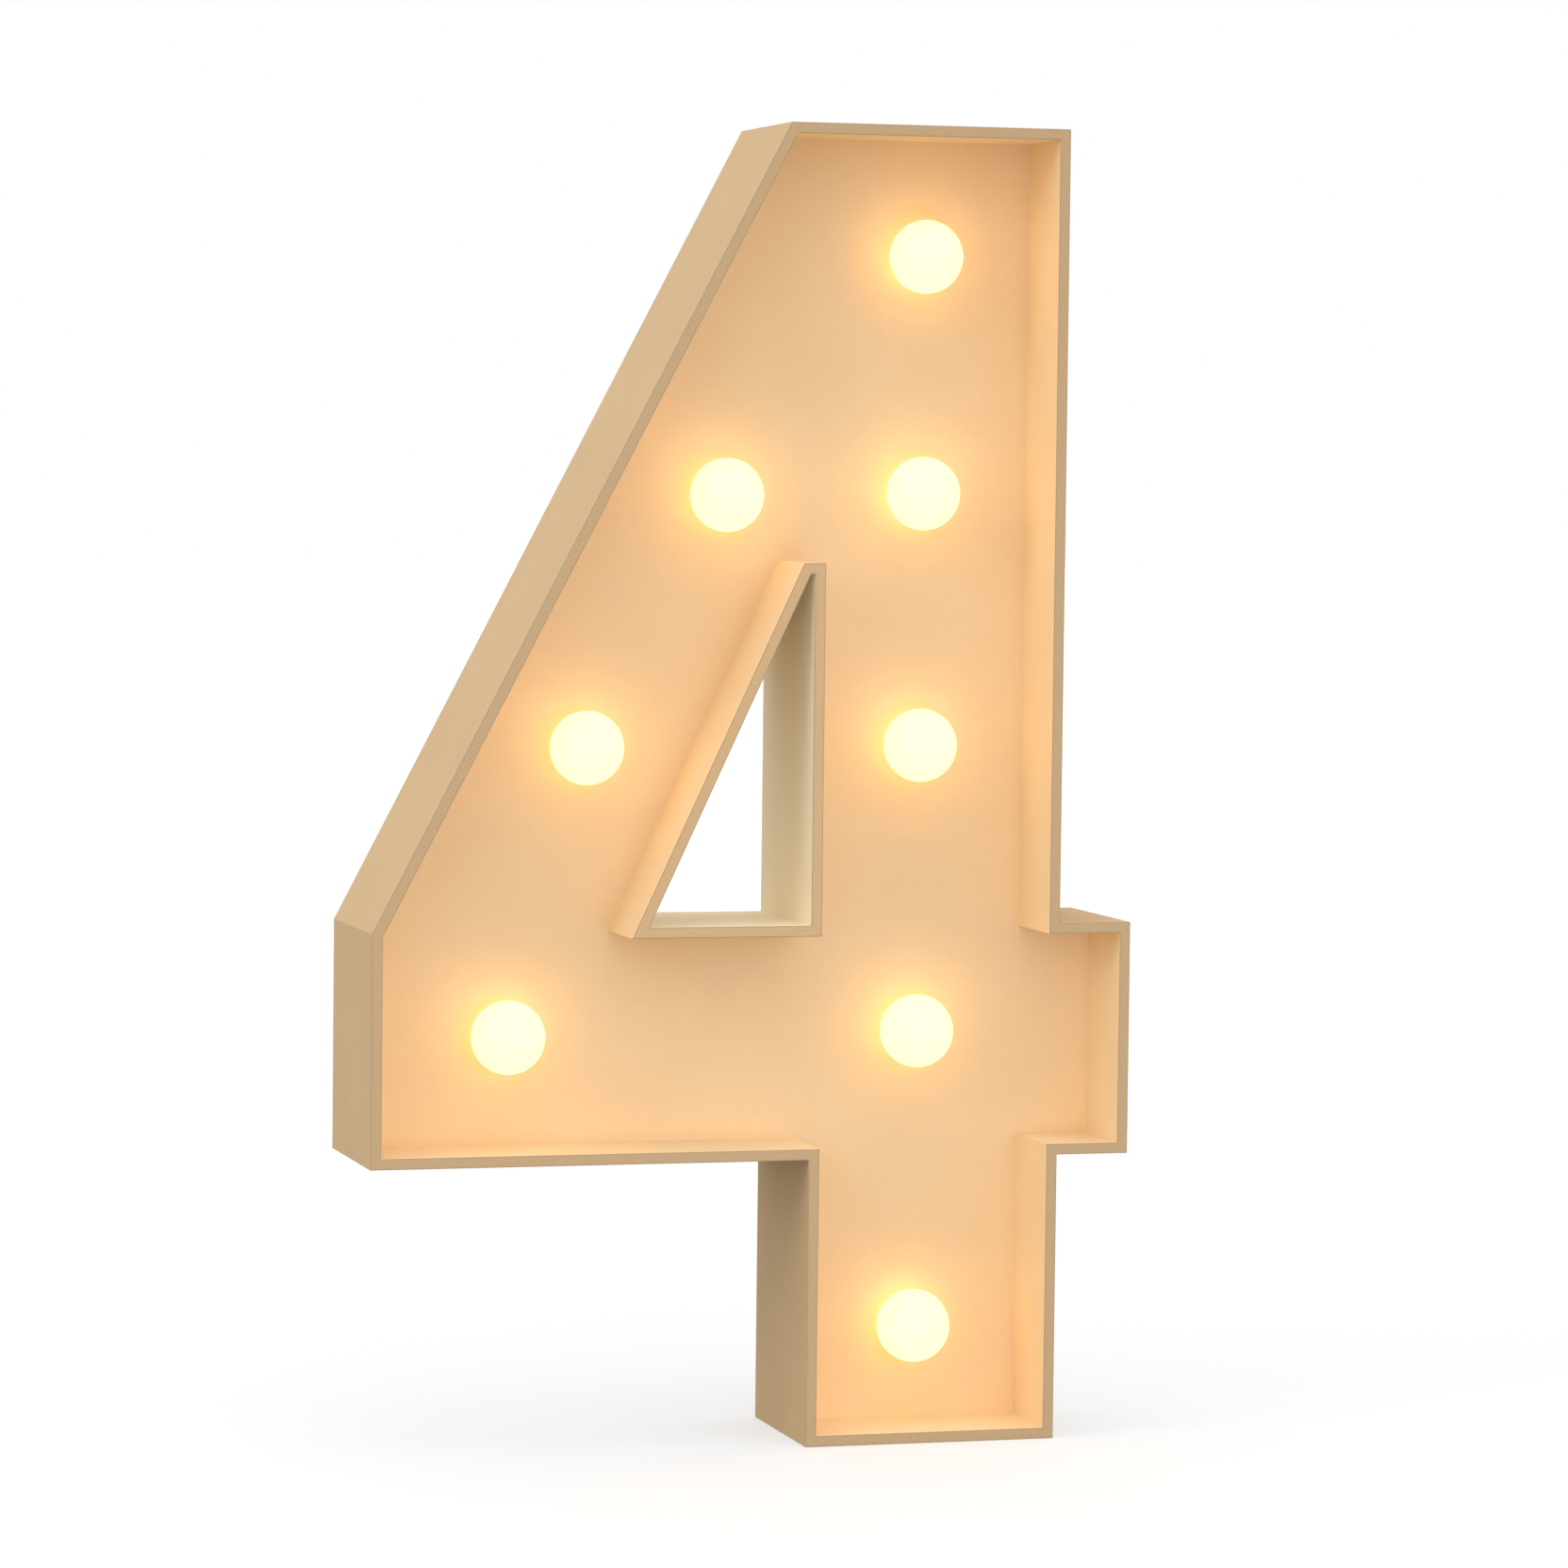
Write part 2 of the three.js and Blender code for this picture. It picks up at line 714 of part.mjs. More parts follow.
// The lead leaves the case, turns under the foot bulb and runs from holder to holder. It crosses
// each holder straight, and dips to the panel and strays a little between two of them. Over the
// top bulb it turns and comes down the limb.
function leadPath() {
  const path = new THREE.CurvePath();
  const at = (place, y) => new THREE.Vector3(place.x, y, place.y);
  let end = new THREE.Vector2(leadPortX, caseBottom + caseWall + leadTail);
  let endY = leadY;
  let way = down;
  const straightTo = (place) => {
    path.add(new THREE.LineCurve3(at(end, endY), at(place, endY)));
    end = place;
  };
  const bendTo = (place, y, heading, pull) => {
    const out = end.clone().addScaledVector(way, pull);
    const back = place.clone().addScaledVector(heading, -pull);
    path.add(new THREE.CubicBezierCurve3(at(end, endY), at(out, endY), at(back, y), at(place, y)));
    [end, endY, way] = [place, y, heading];
  };
  const quarterTurn = (heading) => {
    const corner = end.clone().addScaledVector(way, leadTurn);
    const pull = leadTurn * quarterTurnShare;
    bendTo(corner.addScaledVector(heading, leadTurn), endY, heading, pull);
  };
  straightTo(new THREE.Vector2(leadPortX, footBulbHeight - leadStraight));
  quarterTurn(sideways);
  straightTo(new THREE.Vector2(stemMiddle + leadTurn, end.y));
  quarterTurn(up);
  bulbs.forEach(({ x, z, heading }, i) => {
    const middle = new THREE.Vector2(x, z);
    if (i > 0) {
      const entry = middle.clone().addScaledVector(heading, -leadStraight);
      if (heading.dot(way) < 0) [sideways, down].forEach(quarterTurn);
      const gone = entry.clone().sub(end);
      const pull = gone.length() * leadPullShare;
      const course = gone.clone().normalize();
      const side = new THREE.Vector2(course.y, -course.x).multiplyScalar(i % 2 ? -leadBow : leadBow);
      bendTo(end.clone().addScaledVector(gone, 1 / 2).add(side), leadRestY, course, pull);
      bendTo(entry, leadY, heading, pull);
    }
    const last = i === bulbs.length - 1;
    const reach = last ? tailDiameter / 2 - seatGap : leadStraight;
    straightTo(middle.clone().addScaledVector(heading, reach));
  });
  return path;
}

function addLead() {
  const section = ring(leadDiameter, leadSides);
  const extrudePath = leadPath();
  const options = { steps: leadSteps, extrudePath, bevelEnabled: false };
  add("lead", new THREE.ExtrudeGeometry(section, options), leadPlastic());
}

addWalls(outlineWalls, outline, insideOfOutline);
addWalls(counterWalls, counter, outsideOfCounter);
addPanel();
addBulbs();
addTapePad();
addCase();
addCover();
addScrew();
addSwitch();
addCells();
addContacts();
addLead();

export default figure;
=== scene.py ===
import math

import bmesh
import bpy
from mathutils import Matrix, Vector
from mathutils.geometry import interpolate_bezier


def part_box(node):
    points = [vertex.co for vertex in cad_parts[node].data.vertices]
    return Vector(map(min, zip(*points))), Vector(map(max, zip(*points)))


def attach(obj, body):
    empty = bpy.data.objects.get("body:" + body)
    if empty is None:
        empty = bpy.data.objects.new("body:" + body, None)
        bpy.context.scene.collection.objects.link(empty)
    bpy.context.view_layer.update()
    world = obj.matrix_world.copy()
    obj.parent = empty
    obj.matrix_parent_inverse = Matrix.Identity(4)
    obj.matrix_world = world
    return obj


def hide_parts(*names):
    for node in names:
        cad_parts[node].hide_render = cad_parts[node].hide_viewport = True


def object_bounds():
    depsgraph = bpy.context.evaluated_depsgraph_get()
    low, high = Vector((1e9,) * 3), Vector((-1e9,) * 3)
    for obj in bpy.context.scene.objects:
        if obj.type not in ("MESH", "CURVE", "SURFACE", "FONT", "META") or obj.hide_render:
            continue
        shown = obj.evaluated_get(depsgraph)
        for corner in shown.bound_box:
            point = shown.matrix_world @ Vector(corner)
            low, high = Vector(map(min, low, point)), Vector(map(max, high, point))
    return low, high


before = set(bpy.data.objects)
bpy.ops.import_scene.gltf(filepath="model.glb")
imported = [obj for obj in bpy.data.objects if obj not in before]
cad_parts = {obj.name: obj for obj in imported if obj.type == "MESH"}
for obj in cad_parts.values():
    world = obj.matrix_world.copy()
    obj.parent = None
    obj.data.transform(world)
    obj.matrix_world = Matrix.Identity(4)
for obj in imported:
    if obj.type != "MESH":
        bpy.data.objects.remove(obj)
cad_low, cad_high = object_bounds()


# Camera. A long lens stands to the left of the figure at about three quarters of its height, and
# looks slightly down. Its place, turn and lens come from the straight edges in the photograph.
camera_place = (-1.0685, -3.8687, 0.6872)
camera_turn = math.radians(-15.93)
camera_pitch = math.radians(-3.277)
camera_roll = math.radians(0.654)
camera_lens = 132.3
camera_sensor = 36

camera_data = bpy.data.cameras.new("camera")
camera_data.sensor_width = camera_sensor
camera_data.lens = camera_lens
camera = bpy.data.objects.new("camera", camera_data)
bpy.context.collection.objects.link(camera)
camera.matrix_world = (
    Matrix.Translation(camera_place)
    @ Matrix.Rotation(camera_turn, 4, "Z")
    @ Matrix.Rotation(math.pi / 2 + camera_pitch, 4, "X")
    @ Matrix.Rotation(camera_roll, 4, "Z")
)
bpy.context.scene.camera = camera


# Outline boards. Eleven strips of tan foam board stand on edge round the figure, cut to a mitre
# and glued at the corners. The paper is tan on both sides. Inside the tray it is painted paler,
# as painted light for the warm glow of the bulbs. The cut edges show the pores of the foam
# between two thin lines of paper.
board_thickness = 0.0076
mitre_overrun = 2 * board_thickness
paper_line = 0.0008
board_arris = 0.0004
outer_paper_light = (0.630, 0.439, 0.229, 1)
outer_paper_dark = (0.584, 0.402, 0.207, 1)
# The inner paper is painted paler than the outer, as painted light for the bulbs' glow inside the
# tray.
inner_paper_glow_painted_pale = (0.841, 0.661, 0.418, 1)
inner_paper_glow_painted_deep = (0.803, 0.627, 0.391, 1)
cut_edge_light = (0.576, 0.394, 0.215, 1)
cut_edge_dark = (0.531, 0.363, 0.197, 1)
cut_paper_colour = (0.423, 0.282, 0.150, 1)
paper_roughness = 0.78
smoothest_paper = 0.72
roughest_paper = 0.86
fibre_scale = 900
fibre_stretch = (1, 1, 0.35)
fibre_depth = 0.00004
cloud_scale = 16
pore_scale = 1500
cut_face_reach = 0.0003
cut_face_full = 0.0001
wide_face_facing = 0.99
grain_low, grain_high = 0.3, 0.7
patch_low, patch_high = 0.35, 0.65
first_colour_input, second_colour_input, mixed_colour_output = 6, 7, 2


def low_corner(node):
    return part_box(node)[0]


def high_corner(node):
    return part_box(node)[1]


def new_finish(name, roughness, metallic=0.0):
    finish = bpy.data.materials.new(name)
    finish.use_nodes = True
    shader = finish.node_tree.nodes["Principled BSDF"]
    shader.inputs["Roughness"].default_value = roughness
    shader.inputs["Metallic"].default_value = metallic
    return finish, finish.node_tree, shader


def grain(tree, scale, detail, stretch=(1, 1, 1)):
    """The value of a cloudy pattern on the piece's own place, stretched along an axis if asked."""
    place = tree.nodes.new("ShaderNodeTexCoord")
    mapping = tree.nodes.new("ShaderNodeMapping")
    mapping.inputs["Scale"].default_value = stretch
    noise = tree.nodes.new("ShaderNodeTexNoise")
    noise.inputs["Scale"].default_value = scale
    noise.inputs["Detail"].default_value = detail
    tree.links.new(place.outputs["Object"], mapping.inputs["Vector"])
    tree.links.new(mapping.outputs["Vector"], noise.inputs["Vector"])
    return noise.outputs["Fac"]


def span(tree, value, from_low, from_high, to_low=0.0, to_high=1.0):
    """A value moved from one range to another and held there."""
    mover = tree.nodes.new("ShaderNodeMapRange")
    tree.links.new(value, mover.inputs["Value"])
    for socket, number in zip(("From Min", "From Max", "To Min", "To Max"),
                              (from_low, from_high, to_low, to_high)):
        mover.inputs[socket].default_value = number
    return mover.outputs["Result"]


def spread(tree, pattern, to_low=0.0, to_high=1.0):
    """A pattern's usual values moved to another range."""
    return span(tree, pattern, grain_low, grain_high, to_low, to_high)


def patches(tree, pattern):
    """A pattern's values moved apart, so that it shows as patches."""
    return span(tree, pattern, patch_low, patch_high)


def size_of(tree, value):
    """A value without its sign."""
    plain = tree.nodes.new("ShaderNodeMath")
    plain.operation = "ABSOLUTE"
    tree.links.new(value, plain.inputs[0])
    return plain.outputs[0]


def blend_colours(tree, share, first, second):
    """Two colours, or colour sockets, mixed by a share."""
    mixer = tree.nodes.new("ShaderNodeMix")
    mixer.data_type = "RGBA"
    tree.links.new(share, mixer.inputs["Factor"])
    for number, colour in ((first_colour_input, first), (second_colour_input, second)):
        socket = mixer.inputs[number]
        if isinstance(colour, tuple):
            socket.default_value = colour
        else:
            tree.links.new(colour, socket)
    return mixer.outputs[mixed_colour_output]


def emboss(tree, shader, height, depth):
    """A small relief, whose depth is in metres."""
    bump = tree.nodes.new("ShaderNodeBump")
    bump.inputs["Strength"].default_value = 1
    bump.inputs["Distance"].default_value = depth
    tree.links.new(height, bump.inputs["Height"])
    tree.links.new(bump.outputs["Normal"], shader.inputs["Normal"])


def make_board_finish(name, dark, light, foam_dark=cut_edge_dark, foam_light=cut_edge_light):
    """Paper with fine fibres up the figure, and foam where the front and back are cut."""
    finish, tree, shader = new_finish(name, paper_roughness)
    fibre = grain(tree, fibre_scale, detail=3, stretch=fibre_stretch)
    cloud = grain(tree, cloud_scale, detail=4)
    paper = blend_colours(tree, patches(tree, cloud), dark, light)
    fleck = blend_colours(tree, spread(tree, fibre), dark, paper)
    pores = grain(tree, pore_scale, detail=2)
    foam = blend_colours(tree, patches(tree, pores), foam_dark, foam_light)
    across = tree.nodes.new("ShaderNodeAttribute")
    across.attribute_name = "across_board"
    half = board_thickness / 2
    on_paper = span(tree, size_of(tree, across.outputs["Fac"]), half - paper_line,
                    half - paper_line / 2)
    edge = blend_colours(tree, on_paper, foam, cut_paper_colour)
    place = tree.nodes.new("ShaderNodeTexCoord")
    axes = tree.nodes.new("ShaderNodeSeparateXYZ")
    tree.links.new(place.outputs["Object"], axes.inputs["Vector"])
    depth = size_of(tree, axes.outputs["Y"])
    cut = span(tree, depth, cad_high.y - cut_face_reach, cad_high.y - cut_face_full)
    tree.links.new(blend_colours(tree, cut, fleck, edge), shader.inputs["Base Color"])
    rough = spread(tree, fibre, smoothest_paper, roughest_paper)
    tree.links.new(rough, shader.inputs["Roughness"])
    emboss(tree, shader, fibre, fibre_depth)
    return finish


outer_finish = make_board_finish("tan_outer_paper", outer_paper_dark, outer_paper_light)
inner_glow_painted_finish = make_board_finish("inner_paper_painted_glow", inner_paper_glow_painted_deep, inner_paper_glow_painted_pale)


def place_piece(bm, name, body, finishes, nodes, smooth_angle=None):
    """Makes the finished mesh a piece of its own that stands for its CAD nodes."""
    mesh = bpy.data.meshes.new(name)
    if smooth_angle is not None:
        for face in bm.faces:
            face.smooth = True
        for edge in bm.edges:
            edge.smooth = edge.is_manifold and edge.calc_face_angle() < smooth_angle
    bm.to_mesh(mesh)
    bm.free()
    for finish in finishes:
        mesh.materials.append(finish)
    piece = bpy.data.objects.new(name, mesh)
    bpy.context.collection.objects.link(piece)
    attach(piece, body)
    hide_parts(*nodes)
    return piece


def step_inwards(corners, distance):
    """The corners of a closed line moved to its right-hand side, as seen when walking round it."""
    count = len(corners)
    sides = [(corners[(i + 1) % count] - corners[i]).normalized() for i in range(count)]
    normals = [Vector((side.y, -side.x)) for side in sides]
    moved = []
    for i, corner in enumerate(corners):
        before, after = normals[i - 1], normals[i]
        moved.append(corner + (before + after) * distance / (1 + before.dot(after)))
    return moved


def round_edges(bm, edges, width, segments=2):
    bmesh.ops.bevel(bm, geom=edges, offset=width, segments=segments, profile=0.5,
                    affect="EDGES", material=-1, clamp_overlap=True)


def lay_board(node, start, end, start_inner, end_inner, face_papers):
    """One strip of board between two corners of the outline, cut to the mitre at both. The papers
    are those of its edges, of its near wide face and of its far one."""
    along = (end - start).normalized()
    thick = (start_inner - start).dot(Vector((along.y, -along.x)))
    square = Vector((along.y, -along.x)) * (1 if thick > 0 else -1)
    length = (end - start).length + 2 * mitre_overrun
    depth = cad_high.y - cad_low.y
    bm = bmesh.new()
    bmesh.ops.create_cube(bm, size=1)
    bmesh.ops.scale(bm, vec=(length, depth, board_thickness), verts=bm.verts)
    long_edges = [e for e in bm.edges if abs(e.verts[0].co.x - e.verts[1].co.x) > board_thickness]
    round_edges(bm, long_edges, board_arris)
    turn = Matrix.Rotation(-math.atan2(along.y, along.x), 3, "Y")
    bmesh.ops.rotate(bm, cent=(0, 0, 0), matrix=turn, verts=bm.verts)
    middle = (start + end) / 2 + square * board_thickness / 2
    bmesh.ops.translate(bm, vec=(middle.x, 0, middle.y), verts=bm.verts)
    for corner, inner, way in ((start, start_inner, -1), (end, end_inner, 1)):
        mitre = inner - corner
        normal = Vector((mitre.y, 0, -mitre.x)).normalized()
        if normal.dot(Vector((along.x, 0, along.y))) * way < 0:
            normal.negate()
        geometry = bm.verts[:] + bm.edges[:] + bm.faces[:]
        bmesh.ops.bisect_plane(bm, geom=geometry, plane_co=(corner.x, 0, corner.y),
                               plane_no=normal, clear_outer=True)
        open_edges = [edge for edge in bm.edges if edge.is_boundary]
        bmesh.ops.holes_fill(bm, edges=open_edges, sides=0)
    bmesh.ops.recalc_face_normals(bm, faces=bm.faces)
    across = bm.verts.layers.float.new("across_board")
    for vert in bm.verts:
        offset = Vector((vert.co.x - middle.x, vert.co.z - middle.y))
        vert[across] = offset.dot(square)
    for face in bm.faces:
        facing = face.normal.dot(Vector((square.x, 0, square.y)))
        face.material_index = 1 + (facing > 0) if abs(facing) > wide_face_facing else 0
    name = node.replace("_wall", "_board")
    place_piece(bm, name, "frame", face_papers, [node])


left, bar_bottom = low_corner("left_end_wall").x, low_corner("left_end_wall").z
left_end_top = high_corner("left_end_wall").z
top_left, top = low_corner("top_wall").x, high_corner("top_wall").z
stem_left, stem_right = low_corner("foot_wall").x, high_corner("foot_wall").x
arm_end, bar_top = high_corner("arm_end_wall").x, high_corner("arm_end_wall").z
outline = [Vector(corner) for corner in (
    (left, bar_bottom), (left, left_end_top), (top_left, top), (stem_right, top),
    (stem_right, bar_top), (arm_end, bar_top), (arm_end, bar_bottom), (stem_right, bar_bottom),
    (stem_right, 0), (stem_left, 0), (stem_left, bar_bottom))]
outline_nodes = (
    "left_end_wall", "diagonal_wall", "top_wall", "stem_right_wall", "arm_top_wall",
    "arm_end_wall", "arm_bottom_wall", "leg_right_wall", "foot_wall", "leg_left_wall",
    "bar_bottom_wall")
outline_inner = step_inwards(outline, board_thickness)
for i, node in enumerate(outline_nodes):
    j = (i + 1) % len(outline)
    lay_board(node, outline[i], outline[j], outline_inner[i], outline_inner[j],
              [outer_finish, outer_finish, inner_glow_painted_finish])


# Window boards. Four more strips line the three-cornered window, mitred like the others, with a
# paler paper on the window's side and a paler cut edge. The paler paper is painted light, which
# makes up for the shade inside the window. The top one is only a few millimetres wide, where the
# point of the window is cut off.
# The window's paper is painted paler still, as painted light that makes up for the shade inside
# the window.
window_paper_painted_light_pale = (0.945, 0.821, 0.586, 1)
window_paper_painted_light_deep = (0.910, 0.780, 0.551, 1)
window_edge_light = (0.665, 0.438, 0.234, 1)
window_edge_dark = (0.614, 0.404, 0.213, 1)
window_width = 0.1153
window_crown = 0.003
window_top = high_corner("counter_right_wall").z - board_thickness
window = [Vector(corner) for corner in (
    (stem_left - window_width, bar_top), (stem_left - window_crown, window_top),
    (stem_left, window_top), (stem_left, bar_top))]
window_nodes = (
    "counter_diagonal_wall", "counter_top_wall", "counter_right_wall", "counter_bottom_wall")
window_outer = step_inwards(window, -board_thickness)
window_painted_light_finish = make_board_finish("window_paper", window_paper_painted_light_deep, window_paper_painted_light_pale)
window_edge_finish = make_board_finish("window_cut_edge", outer_paper_dark, outer_paper_light,
                                       window_edge_dark, window_edge_light)
for i, node in enumerate(window_nodes):
    j = (i + 1) % len(window)
    lay_board(node, window[i], window[j], window_outer[i], window_outer[j],
              [window_edge_finish, window_painted_light_finish, inner_glow_painted_finish])


# Back panel. One sheet of the same foam board is let in between the walls and glued. Its paper is
# painted paler and a little warmer, as painted light for the warm glow of the bulbs in front of
# it. It keeps its CAD shape, with the window and a round hole for each bulb.
# The panel's paper is painted paler and warmer, as painted light for the bulbs' glow on it.
panel_paper_glow_painted_pale = (0.865, 0.619, 0.358, 1)
panel_paper_glow_painted_deep = (0.828, 0.589, 0.335, 1)


def give_finish(node, finish):
    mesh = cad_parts[node].data
    mesh.materials.clear()
    mesh.materials.append(finish)


panel_glow_painted_finish = make_board_finish("panel_paper_painted_glow", panel_paper_glow_painted_deep, panel_paper_glow_painted_pale)
give_finish("back_panel", panel_glow_painted_finish)


# Battery case. A shell moulded in pale plastic is stuck to the back of the panel in the leg by a
# pad of foam tape. It has a bay for three cells, and one below it for the switch and the lead.
case_arris = 0.00025
case_corner = 0.0009
case_light = (0.860, 0.835, 0.775, 1)
case_dark = (0.800, 0.770, 0.705, 1)
case_roughness = 0.46
moulding_cloud_scale = 70
moulding_spark_scale = 2600
moulding_spark_depth = 0.000015
moulding_smoother = 0.05
moulding_rougher = 0.07
moulding_smooth_angle = math.radians(40)
tape_light = (0.900, 0.890, 0.860, 1)
tape_dark = (0.740, 0.725, 0.690, 1)
tape_roughness = 0.92
tape_pore_scale = 1800
tape_pore_depth = 0.00012
tape_pore_low, tape_pore_high = 0.4, 0.6
merge_distance = 0.000002
flat_angle = math.radians(1)
sharp_angle = math.radians(30)
same_place = 0.00001


def make_moulded_finish(name, dark, light, roughness):
    """Moulded plastic, with slight clouds in its colour and the fine grain of the tool."""
    finish, tree, shader = new_finish(name, roughness)
    cloud = grain(tree, moulding_cloud_scale, detail=3)
    spark = grain(tree, moulding_spark_scale, detail=2)
    shade = blend_colours(tree, spread(tree, cloud), dark, light)
    tree.links.new(shade, shader.inputs["Base Color"])
    rough = spread(tree, spark, roughness - moulding_smoother, roughness + moulding_rougher)
    tree.links.new(rough, shader.inputs["Roughness"])
    emboss(tree, shader, spark, moulding_spark_depth)
    return finish


def make_foam_tape_finish():
    finish, tree, shader = new_finish("white_foam_tape", tape_roughness)
    pores = grain(tree, tape_pore_scale, detail=3)
    open_pores = span(tree, pores, tape_pore_low, tape_pore_high)
    shade = blend_colours(tree, open_pores, tape_dark, tape_light)
    tree.links.new(shade, shader.inputs["Base Color"])
    emboss(tree, shader, pores, tape_pore_depth)
    return finish


def merged_copy(node):
    """The shape of a CAD node as one closed mesh with whole flat faces."""
    bm = bmesh.new()
    bm.from_mesh(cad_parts[node].data)
    bmesh.ops.remove_doubles(bm, verts=bm.verts, dist=merge_distance)
    bmesh.ops.dissolve_limit(bm, angle_limit=flat_angle, verts=bm.verts, edges=bm.edges)
    return bm


def ease_edges(bm, width):
    """Rounds every sharp edge."""
    sharp = [edge for edge in bm.edges
             if edge.is_manifold and edge.calc_face_angle() > sharp_angle]
    round_edges(bm, sharp, width)


def ease_outer_corners(bm, width):
    """Rounds the edges along the outer box of a shape."""
    places = [[vert.co[axis] for vert in bm.verts] for axis in range(3)]
    limits = [(min(line), max(line)) for line in places]

    def on_corner(edge):
        shared = 0
        for axis in range(3):
            for limit in limits[axis]:
                shared += all(abs(vert.co[axis] - limit) < same_place for vert in edge.verts)
        return shared >= 2

    corners = [edge for edge in bm.edges if edge.is_manifold and on_corner(edge)]
    round_edges(bm, corners, width, segments=3)


case_finish = make_moulded_finish("ivory_case_plastic", case_dark, case_light, case_roughness)
give_finish("case_tape_pad", make_foam_tape_finish())
case_shell = merged_copy("battery_case")
ease_outer_corners(case_shell, case_corner)
ease_edges(case_shell, case_arris)
place_piece(case_shell, "battery_case_shell", "frame", [case_finish],
            ["battery_case"], moulding_smooth_angle)


# Switch. A slide switch in black plastic stands under the deck of the case. Its knob comes out
# through a slot in the deck, and slides to the left to put the bulbs out.
switch_arris = 0.00018
switch_light = (0.030, 0.030, 0.034, 1)
switch_dark = (0.018, 0.018, 0.021, 1)
switch_roughness = 0.5

switch_finish = make_moulded_finish("black_switch_plastic", switch_dark, switch_light,
                                    switch_roughness)
for node, name, body in (("switch_body", "switch_housing", "frame"),
                         ("switch_slider", "switch_knob", "switch")):
    made = merged_copy(node)
    ease_edges(made, switch_arris)
    place_piece(made, name, body, [switch_finish], [node],
                moulding_smooth_angle)


# Contacts. Nickelled strips lie across the ends of the bay. A tapered coil of spring wire stands
# on the strip wherever the flat end of a cell comes.
strip_thickness = 0.0005
strip_half = 0.0055
strip_arris = 0.0001
coil_wire = 0.0008
coil_base = 0.009
coil_tip = 0.005
coil_length = 0.005
coil_turns = 3
coil_points_per_turn = 28
nickel_light = (0.780, 0.770, 0.740, 1)
nickel_dark = (0.640, 0.630, 0.605, 1)
nickel_roughness = 0.28
drawn_line_scale = 1600
drawn_line_depth = 0.00001
strip_line_stretch = (1, 1, 0.1)
metal_smoother = 0.06
metal_rougher = 0.10
metal_smooth_angle = math.radians(40)
cell_count = 3


def make_metal_finish(name, dark, light, roughness, stretch):
    """Plated metal with fine drawn lines."""
    finish, tree, shader = new_finish(name, roughness, 1.0)
    lines = grain(tree, drawn_line_scale, detail=3, stretch=stretch)
    shade = blend_colours(tree, spread(tree, lines), dark, light)
    tree.links.new(shade, shader.inputs["Base Color"])
    rough = spread(tree, lines, roughness - metal_smoother, roughness + metal_rougher)
    tree.links.new(rough, shader.inputs["Roughness"])
    emboss(tree, shader, lines, drawn_line_depth)
    return finish


def cell_centre(number):
    low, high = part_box(f"battery_cell_{number}")
    return Vector(((low.x + high.x) / 2, (low.y + high.y) / 2))


def round_wire(name, points, wire_radius, sides_level=4):
    """A round wire or cord along its points, as a mesh."""
    curve = bpy.data.curves.new(name, "CURVE")
    curve.dimensions = "3D"
    curve.bevel_depth = wire_radius
    curve.bevel_resolution = sides_level
    curve.use_fill_caps = True
    spline = curve.splines.new("POLY")
    spline.points.add(len(points) - 1)
    for spot, point in zip(spline.points, points):
        spot.co = (*point, 1)
    line = bpy.data.objects.new(name, curve)
    bpy.context.collection.objects.link(line)
    view = bpy.context.evaluated_depsgraph_get()
    mesh = bpy.data.meshes.new_from_object(line.evaluated_get(view))
    bpy.data.objects.remove(line)
    bpy.data.curves.remove(curve)
    return mesh


def add_mesh(bm, mesh):
    bm.from_mesh(mesh)
    bpy.data.meshes.remove(mesh)


def wind_coil(number, seat_z, rise):
    """A coil that tapers from its strip to its tip, rising evenly."""
    centre = cell_centre(number)
    count = coil_turns * coil_points_per_turn
    points = []
    for i in range(count + 1):
        share = i / count
        angle = 2 * math.pi * coil_turns * share
        radius = (coil_base + (coil_tip - coil_base) * share) / 2
        height = (coil_length - coil_wire / 2) * share
        points.append((centre.x + radius * math.cos(angle), centre.y + radius * math.sin(angle),
                       seat_z + rise * height))
    return round_wire("coil", points, coil_wire / 2)


def make_contact(node, first, last, coil_on):
    """A strip from the first cell to the last, with a coil under or over one of them."""
    low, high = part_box(node)
    at_bottom = low.z < low_corner("battery_cell_2").z
    strip_z = low.z if at_bottom else high.z - strip_thickness
    start, end = cell_centre(first), cell_centre(last)
    bm = bmesh.new()
    bmesh.ops.create_cube(bm, size=1)
    bmesh.ops.scale(bm, vec=(end.x - start.x + 2 * strip_half, 2 * strip_half, strip_thickness),
                    verts=bm.verts)
    bmesh.ops.translate(bm, vec=((start.x + end.x) / 2, start.y, strip_z + strip_thickness / 2),
                        verts=bm.verts)
    ease_edges(bm, strip_arris)
    if coil_on:
        seat_z = strip_z + strip_thickness if at_bottom else strip_z
        add_mesh(bm, wind_coil(coil_on, seat_z, 1 if at_bottom else -1))
    name = node.replace("link", "strip") + ("_with_coil" if coil_on else "_strip")
    place_piece(bm, name, "frame", [nickel_finish], [node], metal_smooth_angle)


nickel_finish = make_metal_finish("nickelled_strip", nickel_dark, nickel_light,
                                  nickel_roughness, strip_line_stretch)
make_contact("link_lower", 1, 2, 1)
make_contact("link_upper", 2, 3, 2)
make_contact("contact_minus", 3, 3, 3)
make_contact("contact_plus", 1, 1, None)


